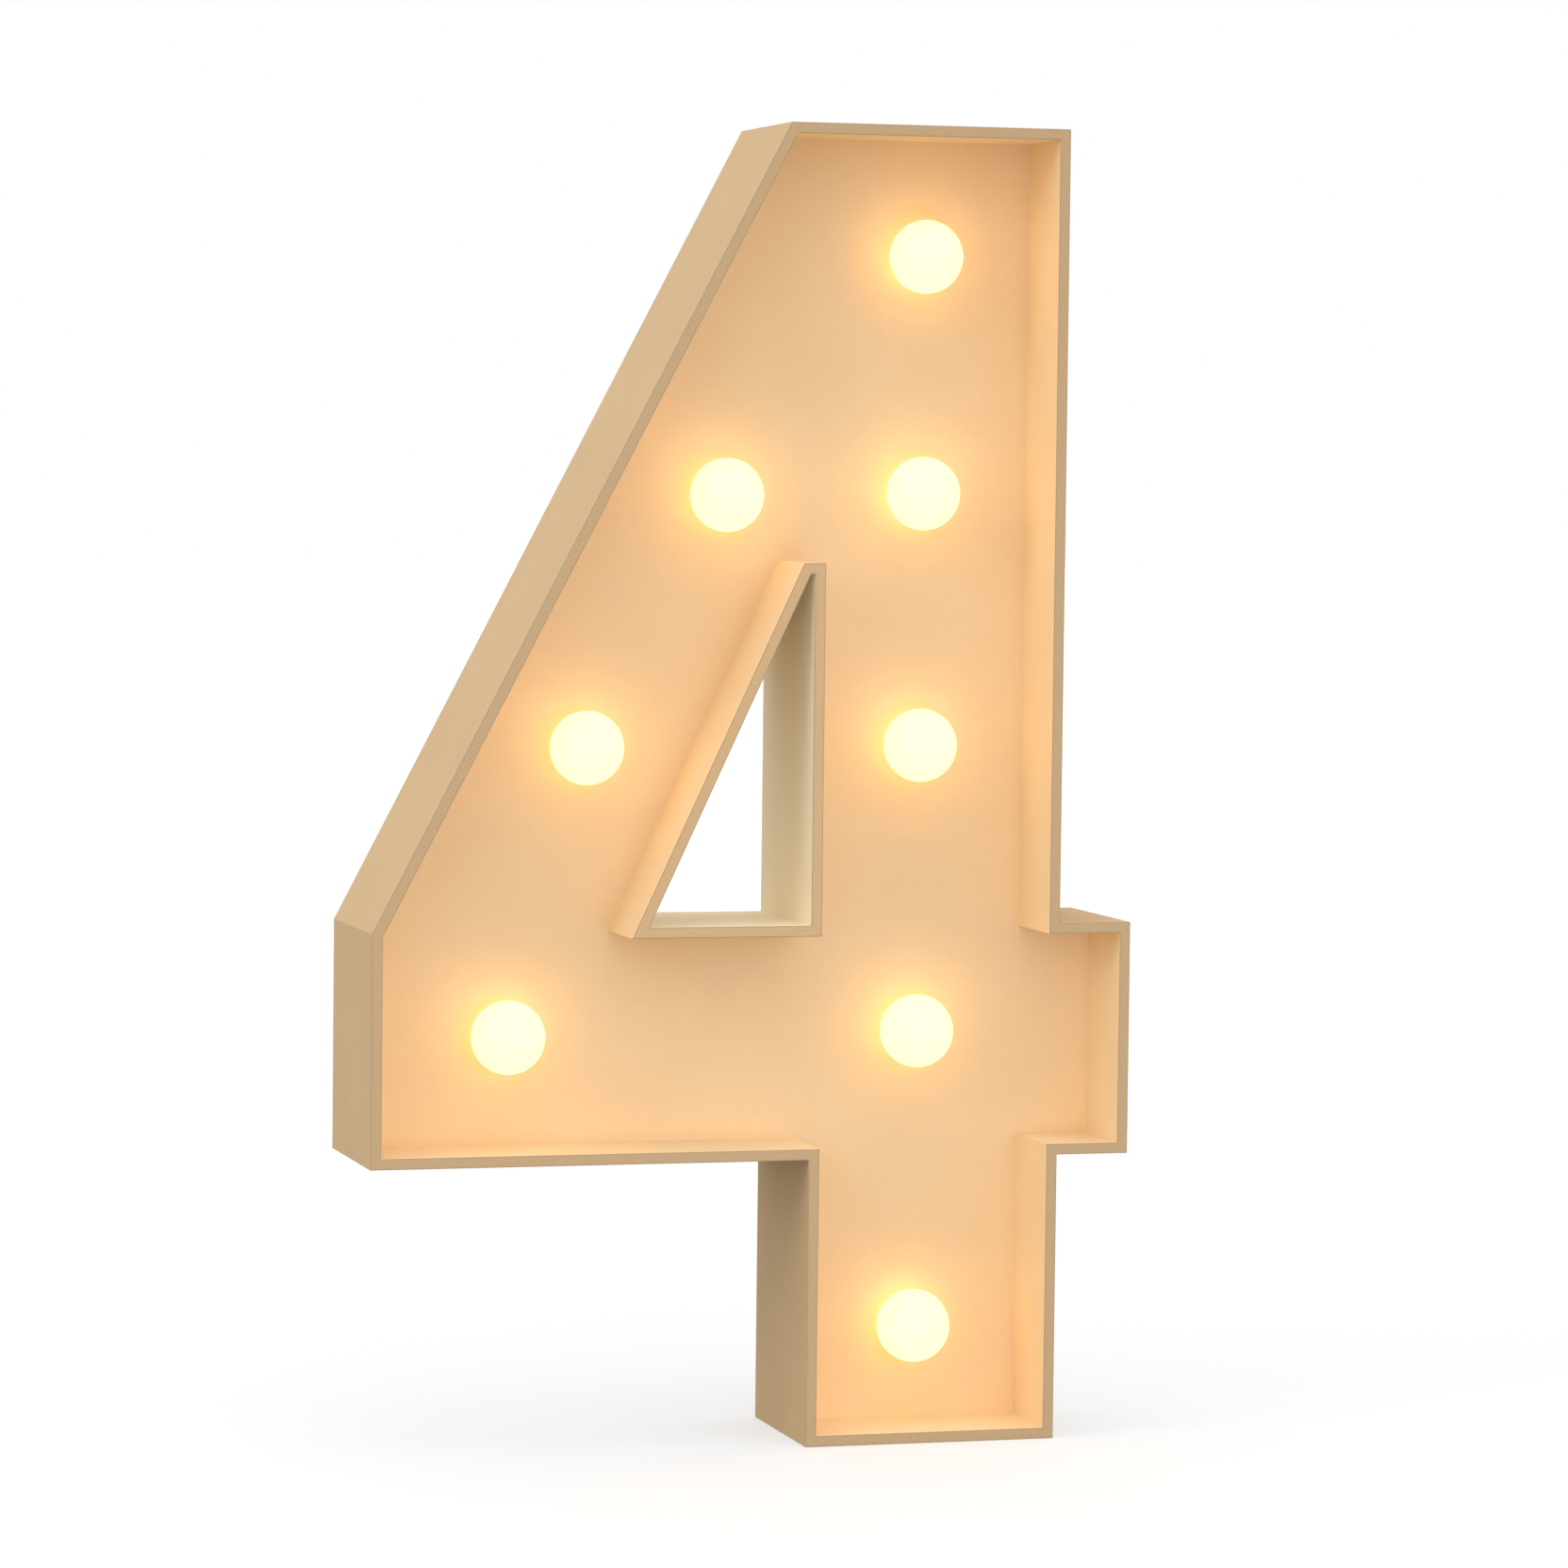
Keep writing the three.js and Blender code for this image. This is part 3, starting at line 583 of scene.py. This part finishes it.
# Cells. Three dry cells lie side by side, every other one turned end for end. Each is a steel can
# in a shrunk film jacket, with a raised contact at one end and a flat one at the other.
cell_radius = 0.0071
cell_length = 0.0495
cell_steps = 48
nub_length = 0.001
nub_radius = 0.00275
nub_ease = 0.0002
dish_radius = 0.0046
dish_edge_radius = 0.0049
dish_depth = 0.0002
can_rim = 0.0012
can_ease = 0.0003
can_shoulder = 0.0008
groove_outer_radius = 0.0058
groove_floor_radius = 0.0054
groove_inner_radius = 0.0032
groove_depth = 0.0004
film_thickness = 0.00012
film_margin = 0.0010
film_tolerance = 0.0001
film_slope = 0.5
band_length = 0.011
film_dark = (0.085, 0.105, 0.118, 1)
film_light = (0.112, 0.135, 0.150, 1)
band_dark = (0.520, 0.560, 0.520, 1)
band_light = (0.620, 0.655, 0.610, 1)
can_dark = (0.560, 0.550, 0.530, 1)
can_light = (0.720, 0.710, 0.690, 1)
film_roughness = 0.26
smoothest_film = 0.22
roughest_film = 0.32
wave_scale = 180
wave_stretch = (1, 1, 0.3)
wave_depth = 0.00003
can_roughness = 0.3
can_line_stretch = (1, 1, 0.2)
cell_smooth_angle = math.radians(35)
pole_merge_distance = 0.00002


def make_film_finish(name, dark, light):
    """Printed film, glossy, with faint waves where it has shrunk."""
    finish, tree, shader = new_finish(name, film_roughness)
    wave = grain(tree, wave_scale, detail=2, stretch=wave_stretch)
    tree.links.new(blend_colours(tree, wave, dark, light), shader.inputs["Base Color"])
    rough = spread(tree, wave, smoothest_film, roughest_film)
    tree.links.new(rough, shader.inputs["Roughness"])
    emboss(tree, shader, wave, wave_depth)
    return finish


def draw_line(bm, start, points):
    """Carries a profile on from a vertex through more points."""
    for point in points:
        start = bmesh.ops.extrude_vert_indiv(bm, verts=[start])["verts"][0]
        start.co = point
    return start


def spin_about(bm, centre, axis, steps):
    """Turns the profile once round an axis, and closes its poles and its seam."""
    bmesh.ops.spin(bm, geom=bm.verts[:] + bm.edges[:], cent=centre, axis=axis,
                   angle=2 * math.pi, steps=steps, use_merge=True)
    bmesh.ops.remove_doubles(bm, verts=bm.verts, dist=pole_merge_distance)
    bmesh.ops.recalc_face_normals(bm, faces=bm.faces)


def make_cell(number):
    low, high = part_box(f"battery_cell_{number}")
    centre = cell_centre(number)
    foot_z, way = (low.z, 1) if number % 2 else (high.z, -1)
    can_radius = cell_radius - film_thickness
    groove_floor = cell_length - groove_depth
    nub_end = cell_length + nub_length
    profile = (
        (dish_radius, dish_depth), (dish_edge_radius, 0), (can_radius - can_rim, 0),
        (can_radius - can_ease, can_ease), (can_radius, can_shoulder), (cell_radius, film_margin),
        (cell_radius, cell_length - band_length), (cell_radius, cell_length - film_margin),
        (can_radius, cell_length - can_shoulder), (can_radius - can_ease, cell_length - can_ease),
        (can_radius - can_rim, cell_length), (groove_outer_radius, cell_length),
        (groove_floor_radius, groove_floor), (groove_inner_radius, groove_floor),
        (nub_radius, cell_length), (nub_radius, nub_end - nub_ease),
        (nub_radius - nub_ease, nub_end), (0, nub_end))
    bm = bmesh.new()
    start = bm.verts.new((centre.x, centre.y, foot_z + way * dish_depth))
    draw_line(bm, start, [(centre.x + r, centre.y, foot_z + way * z) for r, z in profile])
    spin_about(bm, (centre.x, centre.y, 0), (0, 0, 1), cell_steps)
    for face in bm.faces:
        middle = face.calc_center_median()
        out = math.hypot(middle.x - centre.x, middle.y - centre.y)
        along = way * (middle.z - foot_z)
        on_film = out > can_radius - film_tolerance and abs(face.normal.z) < film_slope
        face.material_index = 0 if on_film and along < cell_length - band_length else 2 - on_film
    place_piece(bm, f"dry_cell_{number}", "frame",
                [film_finish, band_finish, can_finish], [f"battery_cell_{number}"],
                cell_smooth_angle)


film_finish = make_film_finish("grey_film_jacket", film_dark, film_light)
band_finish = make_film_finish("pale_film_band", band_dark, band_light)
can_finish = make_metal_finish("steel_can", can_dark, can_light, can_roughness,
                               can_line_stretch)
for number in range(1, cell_count + 1):
    make_cell(number)


# Cover. A plate of the same plastic slides down behind the cells, with tongues that run in the
# case and grooves for the thumb. It slides up and off once its screw is out.
cover_arris = 0.0002

cover_plate = merged_copy("battery_cover")
ease_edges(cover_plate, cover_arris)
place_piece(cover_plate, "battery_cover_plate", "cover", [case_finish],
            ["battery_cover"], moulding_smooth_angle)


# Cover screw. A small pan-head screw in bright steel holds the cover through its notch. Its head
# is domed, with a cross slot.
screw_head_radius = 0.003
screw_head_height = 0.002
screw_shank_radius = 0.0014
screw_slot_width = 0.0009
screw_slot_depth = 0.0009
screw_slot_reach = 0.00198
screw_tip = 0.0012
screw_point_radius = 0.0004
screw_steps = 40
head_seat_ease = 0.0003
head_band = 0.0009
head_dome = ((-0.0004, 0.0015), (-0.0011, 0.0019))
head_flat_radius = 0.0009
thread_pitch = 0.0009
thread_depth = 0.00022
cutter_overrun = 0.001
cut_merge_distance = 0.00002
cut_sliver = 0.00001
steel_roughness = 0.3
screw_smooth_angle = math.radians(30)
steel_light = (0.700, 0.700, 0.710, 1)
steel_dark = (0.520, 0.520, 0.530, 1)


def carve(bm, cutters):
    """Cuts closed shapes out of a closed mesh, and gives back what is left."""
    def as_object(shape, name):
        mesh = bpy.data.meshes.new(name)
        shape.to_mesh(mesh)
        shape.free()
        made = bpy.data.objects.new(name, mesh)
        bpy.context.collection.objects.link(made)
        return made

    blank = as_object(bm, "blank")
    tools = [as_object(cutter, "cutter") for cutter in cutters]
    for tool in tools:
        cut = blank.modifiers.new("cut", "BOOLEAN")
        cut.operation = "DIFFERENCE"
        cut.solver = "EXACT"
        cut.object = tool
    view = bpy.context.evaluated_depsgraph_get()
    mesh = bpy.data.meshes.new_from_object(blank.evaluated_get(view))
    left_over = bmesh.new()
    add_mesh(left_over, mesh)
    bmesh.ops.remove_doubles(left_over, verts=left_over.verts, dist=cut_merge_distance)
    bmesh.ops.dissolve_degenerate(left_over, dist=cut_sliver, edges=left_over.edges)
    for used in [blank, *tools]:
        old_mesh = used.data
        bpy.data.objects.remove(used)
        bpy.data.meshes.remove(old_mesh)
    return left_over


def box_shape(low, high):
    bm = bmesh.new()
    bmesh.ops.create_cube(bm, size=1)
    bmesh.ops.scale(bm, vec=Vector(high) - Vector(low), verts=bm.verts)
    bmesh.ops.translate(bm, vec=(Vector(low) + Vector(high)) / 2, verts=bm.verts)
    return bm


def make_screw():
    low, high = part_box("cover_screw")
    x, z = (low.x + high.x) / 2, (low.z + high.z) / 2
    seat_y = high.y - screw_head_height
    root_radius = screw_shank_radius - thread_depth
    thread = []
    crest_y = low.y + screw_tip
    while crest_y < seat_y - 2 * thread_pitch:
        thread += [(root_radius, crest_y), (screw_shank_radius, crest_y + thread_pitch / 2)]
        crest_y += thread_pitch
    dome = [(screw_head_radius + out, seat_y + rise) for out, rise in head_dome]
    profile = [(screw_point_radius, low.y), *thread, (root_radius, crest_y),
               (root_radius, seat_y), (screw_head_radius - head_seat_ease, seat_y),
               (screw_head_radius, seat_y + head_seat_ease),
               (screw_head_radius, seat_y + head_band), *dome,
               (head_flat_radius, high.y), (0, high.y)]
    bm = bmesh.new()
    start = bm.verts.new((x, low.y, z))
    draw_line(bm, start, [(x + r, y, z) for r, y in profile])
    spin_about(bm, (x, 0, z), (0, 1, 0), screw_steps)
    half, reach = screw_slot_width / 2, screw_slot_reach
    bottom, over = high.y - screw_slot_depth, high.y + cutter_overrun
    bm = carve(bm, [box_shape((x - reach, bottom, z - half), (x + reach, over, z + half)),
                    box_shape((x - half, bottom, z - reach), (x + half, over, z + reach))])
    place_piece(bm, "cover_screw_pan_head", "screw", [steel_finish],
                ["cover_screw"], screw_smooth_angle)


steel_finish = make_metal_finish("bright_screw_steel", steel_dark, steel_light, steel_roughness,
                                 (1, 1, 1))
make_screw()


# Bulb holders. Each is a turned-looking moulding in white plastic. Its barrel comes through the
# panel, its flange lies behind it, and its fluted tail has a slot for the lead.
bulb_count = 8
barrel_radius = 0.0117
barrel_ease = 0.0004
lamp_pocket_radius = 0.0088
lamp_pocket_depth = 0.0015
flange_radius = 0.0185
flange_thickness = 0.0024
flange_gap = 0.0003
flange_ease = 0.0006
tail_radius = 0.013
tail_ease = 0.0008
tail_end_bend = (0.0003, 0.0002)
fillet_radius = 0.0012
fillet_bend = 0.0003
flute_depth = 0.0006
flute_count = 18
flute_fullness = 0.5
flute_start = 0.001
flute_end = 0.0040
tail_tolerance = 0.00005
holder_steps = 108
holder_smooth_angle = math.radians(32)
slot_half = 0.0021
slot_overrun = 0.002
slot_clearance = 0.0003
holder_light = (0.870, 0.850, 0.800, 1)
holder_dark = (0.815, 0.790, 0.735, 1)
plate_colour = (0.820, 0.820, 0.800, 1)
phosphor_dark = (0.800, 0.560, 0.090, 1)
phosphor_light = (0.900, 0.680, 0.150, 1)
holder_roughness = 0.42
lamp_roughness = 0.4
speck_scale = 3000
speck_depth = 0.00002
plate_thickness = 0.0016
plate_edge_reach = 0.0002
plate_edge_full = 0.0001
stem_middle = (stem_left + stem_right) / 2
up, down, to_left = Vector((0, 1)), Vector((0, -1)), Vector((-1, 0))
down_limb = Vector((left - top_left, left_end_top - top)).normalized()
headings = [up] * 5 + [down_limb] * 2 + [down]


def bulb_place(number):
    low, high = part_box(f"bulb_globe_{number}")
    return Vector(((low.x + high.x) / 2, (low.z + high.z) / 2))


def make_holder(number):
    low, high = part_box(f"bulb_holder_{number}")
    place = bulb_place(number)
    flange_y = high_corner("back_panel").y + flange_gap
    tail_y = flange_y + flange_thickness
    pocket_y = low.y + lamp_pocket_depth
    bend_in, bend_back = tail_end_bend
    profile = (
        (lamp_pocket_radius, pocket_y), (lamp_pocket_radius, low.y),
        (barrel_radius - barrel_ease, low.y), (barrel_radius, low.y + barrel_ease),
        (barrel_radius, flange_y), (flange_radius, flange_y),
        (flange_radius, tail_y - flange_ease), (flange_radius - flange_ease, tail_y),
        (tail_radius + fillet_radius, tail_y), (tail_radius + fillet_bend, tail_y + fillet_bend),
        (tail_radius, tail_y + fillet_radius), (tail_radius, high.y - flute_end),
        (tail_radius, high.y - tail_ease), (tail_radius - bend_in, high.y - bend_back),
        (tail_radius - tail_ease, high.y), (0, high.y))
    bm = bmesh.new()
    start = bm.verts.new((place.x, pocket_y, place.y))
    draw_line(bm, start, [(place.x + r, y, place.y) for r, y in profile])
    spin_about(bm, (place.x, 0, place.y), (0, 1, 0), holder_steps)
    for vert in bm.verts:
        out = Vector((vert.co.x - place.x, vert.co.z - place.y))
        if abs(out.length - tail_radius) < tail_tolerance and vert.co.y > tail_y + flute_start:
            turn = math.atan2(out.y, out.x) * flute_count
            inward = flute_depth * max(0.0, math.cos(turn)) ** flute_fullness
            vert.co.x -= out.x / out.length * inward
            vert.co.z -= out.y / out.length * inward
    slot_floor = high_corner("lead").y - 2 * slot_half + slot_clearance
    slot_cut = box_shape((-slot_half, slot_floor, -2 * tail_radius),
                         (slot_half, high.y + slot_overrun, 2 * tail_radius))
    heading = headings[number - 1]
    bmesh.ops.rotate(slot_cut, cent=(0, 0, 0), verts=slot_cut.verts,
                     matrix=Matrix.Rotation(math.atan2(heading.x, heading.y), 3, "Y"))
    bmesh.ops.translate(slot_cut, vec=(place.x, 0, place.y), verts=slot_cut.verts)
    bm = carve(bm, [slot_cut])
    place_piece(bm, f"fluted_holder_{number}", "frame", [holder_finish],
                [f"bulb_holder_{number}"], holder_smooth_angle)


def make_lamp_finish():
    """A white circuit plate with a yellow dome of phosphor on its front."""
    finish, tree, shader = new_finish("lamp_plate_and_phosphor", lamp_roughness)
    speck = grain(tree, speck_scale, detail=2)
    phosphor = blend_colours(tree, speck, phosphor_dark, phosphor_light)
    place = tree.nodes.new("ShaderNodeTexCoord")
    axes = tree.nodes.new("ShaderNodeSeparateXYZ")
    tree.links.new(place.outputs["Object"], axes.inputs["Vector"])
    plate_front = high_corner("bulb_lamp_1").y - plate_thickness
    on_plate = span(tree, axes.outputs["Y"], plate_front - plate_edge_reach,
                    plate_front - plate_edge_full)
    tree.links.new(blend_colours(tree, on_plate, phosphor, plate_colour),
                   shader.inputs["Base Color"])
    emboss(tree, shader, speck, speck_depth)
    return finish


holder_finish = make_moulded_finish("white_holder_plastic", holder_dark, holder_light,
                                    holder_roughness)
lamp_finish = make_lamp_finish()
for number in range(1, bulb_count + 1):
    make_holder(number)
    give_finish(f"bulb_lamp_{number}", lamp_finish)


# Lead. A flat twin lead in ivory plastic comes out of the case and turns under the foot bulb. It
# runs through the slot of each holder in turn, and lies on the panel between them.
lead_diameter = 0.0036
core_offset = 0.00085
core_radius = 0.00095
lead_straight = 0.030
lead_bow = 0.007
lead_pull_share = 0.2
lead_turn = 0.020
quarter_turn_share = 0.5523
lead_end_reach = 0.0127
lead_port_height = 0.009
lead_sides_level = 3
bend_points = 18
lead_light = (0.810, 0.775, 0.690, 1)
lead_dark = (0.740, 0.700, 0.610, 1)
lead_roughness = 0.38
lead_smooth_angle = math.radians(50)


def lead_route():
    """The points of the lead's own line, from inside the case to the bulb at the bar's end."""
    low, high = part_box("lead")
    far_y, near_y = high.y - lead_diameter / 2, low.y + lead_diameter / 2
    port = Vector((high.x - lead_diameter / 2,
                   low_corner("battery_case").z + lead_port_height))
    points = [Vector((port.x, far_y, port.y))]
    state = {"end": port, "y": far_y, "way": down}

    def straight_to(place):
        points.append(Vector((place.x, state["y"], place.y)))
        state["end"] = place

    def bend_to(place, y, heading, pull):
        out = state["end"] + state["way"] * pull
        back = place - heading * pull
        start = Vector((state["end"].x, state["y"], state["end"].y))
        bend = interpolate_bezier(start, Vector((out.x, state["y"], out.y)),
                                  Vector((back.x, y, back.y)), Vector((place.x, y, place.y)),
                                  bend_points)
        points.extend(bend[1:])
        state.update(end=place, y=y, way=heading)

    def quarter_turn(heading):
        place = state["end"] + state["way"] * lead_turn + heading * lead_turn
        bend_to(place, state["y"], heading, lead_turn * quarter_turn_share)

    straight_to(Vector((port.x, bulb_place(1).y - lead_straight)))
    quarter_turn(to_left)
    straight_to(Vector((stem_middle + lead_turn, state["end"].y)))
    quarter_turn(up)
    for i, heading in enumerate(headings):
        place = bulb_place(i + 1)
        if i > 0:
            entry = place - heading * lead_straight
            if heading.dot(state["way"]) < 0:
                quarter_turn(to_left)
                quarter_turn(down)
            gone = entry - state["end"]
            course = gone.normalized()
            side = Vector((course.y, -course.x)) * (-lead_bow if i % 2 else lead_bow)
            pull = gone.length * lead_pull_share
            bend_to(state["end"] + gone / 2 + side, near_y, course, pull)
            bend_to(entry, far_y, heading, pull)
        last = i == len(headings) - 1
        straight_to(place + heading * (lead_end_reach if last else lead_straight))
    return points


def make_lead():
    route = lead_route()
    bm = bmesh.new()
    for side in (-1, 1):
        core = []
        for i, point in enumerate(route):
            along = (route[min(i + 1, len(route) - 1)] - route[max(i - 1, 0)]).normalized()
            core.append(point + along.cross(Vector((0, 1, 0))).normalized() * core_offset * side)
        add_mesh(bm, round_wire("core", core, core_radius, sides_level=lead_sides_level))
    place_piece(bm, "twin_lead", "frame", [lead_finish], ["lead"],
                lead_smooth_angle)


lead_finish = make_moulded_finish("ivory_lead_plastic", lead_dark, lead_light, lead_roughness)
make_lead()


# Bulb globes. Each is a blown shell of frosted plastic with a short neck that screws over the
# holder. The diode at its neck lights it warm white, strongest next to the panel.
globe_radius = 0.0255
globe_wall = 0.0014
globe_steps = 64
outside_arc_steps = 26
inside_arc_steps = 16
neck_radius = 0.015
neck_bead = 0.0008
bead_start = 0.0028
bead_front = 0.0022
bead_back = 0.0004
bore_radius = 0.01205
glow_colour = (1.0, 0.640, 0.280, 1)
glow_front_strength = 2.15
glow_neck_strength = 3.1
frosted_colour = (0.500, 0.420, 0.165, 1)
mist_gain = 1.03
mist_scale = 260
mist_depth = 0.00002
globe_roughness = 0.42
smoothest_globe = 0.38
roughest_globe = 0.48
globe_smooth_angle = math.radians(32)


def make_globe_finish():
    finish, tree, shader = new_finish("frosted_warm_globe", globe_roughness)
    mist = grain(tree, mist_scale, detail=2)
    paler = (*(channel * mist_gain for channel in frosted_colour[:3]), 1)
    tree.links.new(blend_colours(tree, mist, frosted_colour, paler), shader.inputs["Base Color"])
    rough = spread(tree, mist, smoothest_globe, roughest_globe)
    tree.links.new(rough, shader.inputs["Roughness"])
    place = tree.nodes.new("ShaderNodeTexCoord")
    axes = tree.nodes.new("ShaderNodeSeparateXYZ")
    tree.links.new(place.outputs["Object"], axes.inputs["Vector"])
    low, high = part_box("bulb_globe_1")
    middle = low.y + globe_radius
    strength = span(tree, axes.outputs["Y"], middle, high.y, glow_front_strength,
                    glow_neck_strength)
    shader.inputs["Emission Color"].default_value = glow_colour
    tree.links.new(strength, shader.inputs["Emission Strength"])
    emboss(tree, shader, mist, mist_depth)
    return finish


def draw_arc(bm, start, centre, angle, steps):
    """Carries a profile on from a vertex, round a centre."""
    turned = bmesh.ops.spin(bm, geom=[start], cent=centre, axis=(0, 0, 1), angle=angle,
                            steps=steps)
    return next(v for v in turned["geom_last"] if isinstance(v, bmesh.types.BMVert))


def blow_globe(number):
    place = bulb_place(number)
    low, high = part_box(f"bulb_globe_{number}")
    centre = Vector((place.x, low.y + globe_radius, place.y))
    inner_radius = globe_radius - globe_wall
    neck_angle = math.pi - math.asin(neck_radius / globe_radius)
    bore_angle = math.pi - math.asin(bore_radius / inner_radius)
    neck = ((neck_radius, high.y - bead_start),
            (neck_radius + neck_bead, high.y - bead_front),
            (neck_radius + neck_bead, high.y - bead_back),
            (neck_radius + neck_bead / 2, high.y), (bore_radius, high.y))
    bm = bmesh.new()
    front = bm.verts.new((place.x, low.y, place.y))
    outer = draw_arc(bm, front, centre, neck_angle, outside_arc_steps)
    draw_line(bm, outer, [(place.x + r, y, place.y) for r, y in neck])
    inside = bm.verts.new((place.x, centre.y - inner_radius, place.y))
    inner = draw_arc(bm, inside, centre, bore_angle, inside_arc_steps)
    draw_line(bm, inner, [(place.x + bore_radius, high.y, place.y)])
    spin_about(bm, (place.x, 0, place.y), (0, 1, 0), globe_steps)
    place_piece(bm, f"frosted_globe_{number}", f"bulb_{number}", [globe_finish],
                [f"bulb_globe_{number}"], globe_smooth_angle)


globe_finish = make_globe_finish()
for number in range(1, bulb_count + 1):
    blow_globe(number)


# Floor and light. A wide pale floor, an even white sky, two large soft lamps overhead and to the
# left, and a small one low in front light the figure plainly. The camera sees the floor and the
# sky as white, and the floor keeps a soft shadow.
sky_strength = 1.10
floor_colour = (0.25, 0.25, 0.25, 1)
floor_seen_colour = (0.40, 0.40, 0.40, 1)
floor_lift_near = 0.50
floor_lift_far = 0.64
near_floor_reach = 0.8
far_floor_reach = 4.5
floor_width = 60
floor_roughness = 0.9
overhead_place = (-0.2, -1.11, 5.32)
overhead_watts = 21
left_place = (-4.2, -1.36, 2.8)
left_watts = 41
large_lamp_target = (0, 0, 0.45)
large_lamp_size = 2.5
low_place = (0, -1.6, 0.12)
low_watts = 7.5
low_target = (0, 0, 0.2)
low_size = 0.9


def camera_share(tree):
    """1 for what the camera sees directly, in a mirror or through glass, and 0 for light."""
    path = tree.nodes.new("ShaderNodeLightPath")
    total = path.outputs["Is Camera Ray"]
    for other in ("Is Glossy Ray", "Is Transmission Ray"):
        adder = tree.nodes.new("ShaderNodeMath")
        adder.operation = "MAXIMUM"
        tree.links.new(total, adder.inputs[0])
        tree.links.new(path.outputs[other], adder.inputs[1])
        total = adder.outputs[0]
    return total


def light_the_sky():
    world = bpy.data.worlds.new("white_sky")
    bpy.context.scene.world = world
    world.use_nodes = True
    tree = world.node_tree
    background = tree.nodes["Background"]
    background.inputs["Color"].default_value = (1, 1, 1, 1)
    strength = span(tree, camera_share(tree), 0, 1, sky_strength, 1)
    tree.links.new(strength, background.inputs["Strength"])


def lay_floor():
    bm = bmesh.new()
    bmesh.ops.create_grid(bm, x_segments=1, y_segments=1, size=floor_width / 2)
    mesh = bpy.data.meshes.new("floor")
    bm.to_mesh(mesh)
    bm.free()
    floor = bpy.data.objects.new("floor", mesh)
    bpy.context.collection.objects.link(floor)
    finish, tree, shader = new_finish("pale_floor", floor_roughness)
    seen_share = camera_share(tree)
    shade = blend_colours(tree, seen_share, floor_colour, floor_seen_colour)
    tree.links.new(shade, shader.inputs["Base Color"])
    shader.inputs["Emission Color"].default_value = (1, 1, 1, 1)
    place = tree.nodes.new("ShaderNodeTexCoord")
    reach = tree.nodes.new("ShaderNodeVectorMath")
    reach.operation = "LENGTH"
    tree.links.new(place.outputs["Object"], reach.inputs[0])
    lift = span(tree, reach.outputs["Value"], near_floor_reach, far_floor_reach, floor_lift_near,
                floor_lift_far)
    seen = tree.nodes.new("ShaderNodeMath")
    seen.operation = "MULTIPLY"
    tree.links.new(lift, seen.inputs[0])
    tree.links.new(seen_share, seen.inputs[1])
    tree.links.new(seen.outputs[0], shader.inputs["Emission Strength"])
    mesh.materials.append(finish)


def hang_lamp(name, place, target, size, watts):
    """A soft round lamp, which the camera doesn't see."""
    lamp_data = bpy.data.lights.new(name, "AREA")
    lamp_data.shape = "DISK"
    lamp_data.size = size
    lamp_data.energy = watts
    lamp = bpy.data.objects.new(name, lamp_data)
    bpy.context.collection.objects.link(lamp)
    lamp.location = place
    lamp.visible_camera = False
    aim = Vector(target) - Vector(place)
    lamp.rotation_euler = aim.to_track_quat("-Z", "Y").to_euler()


bpy.context.scene.view_settings.view_transform = "Standard"
light_the_sky()
lay_floor()
hang_lamp("overhead_lamp", overhead_place, large_lamp_target, large_lamp_size, overhead_watts)
hang_lamp("left_lamp", left_place, large_lamp_target, large_lamp_size, left_watts)
hang_lamp("low_front_lamp", low_place, low_target, low_size, low_watts)
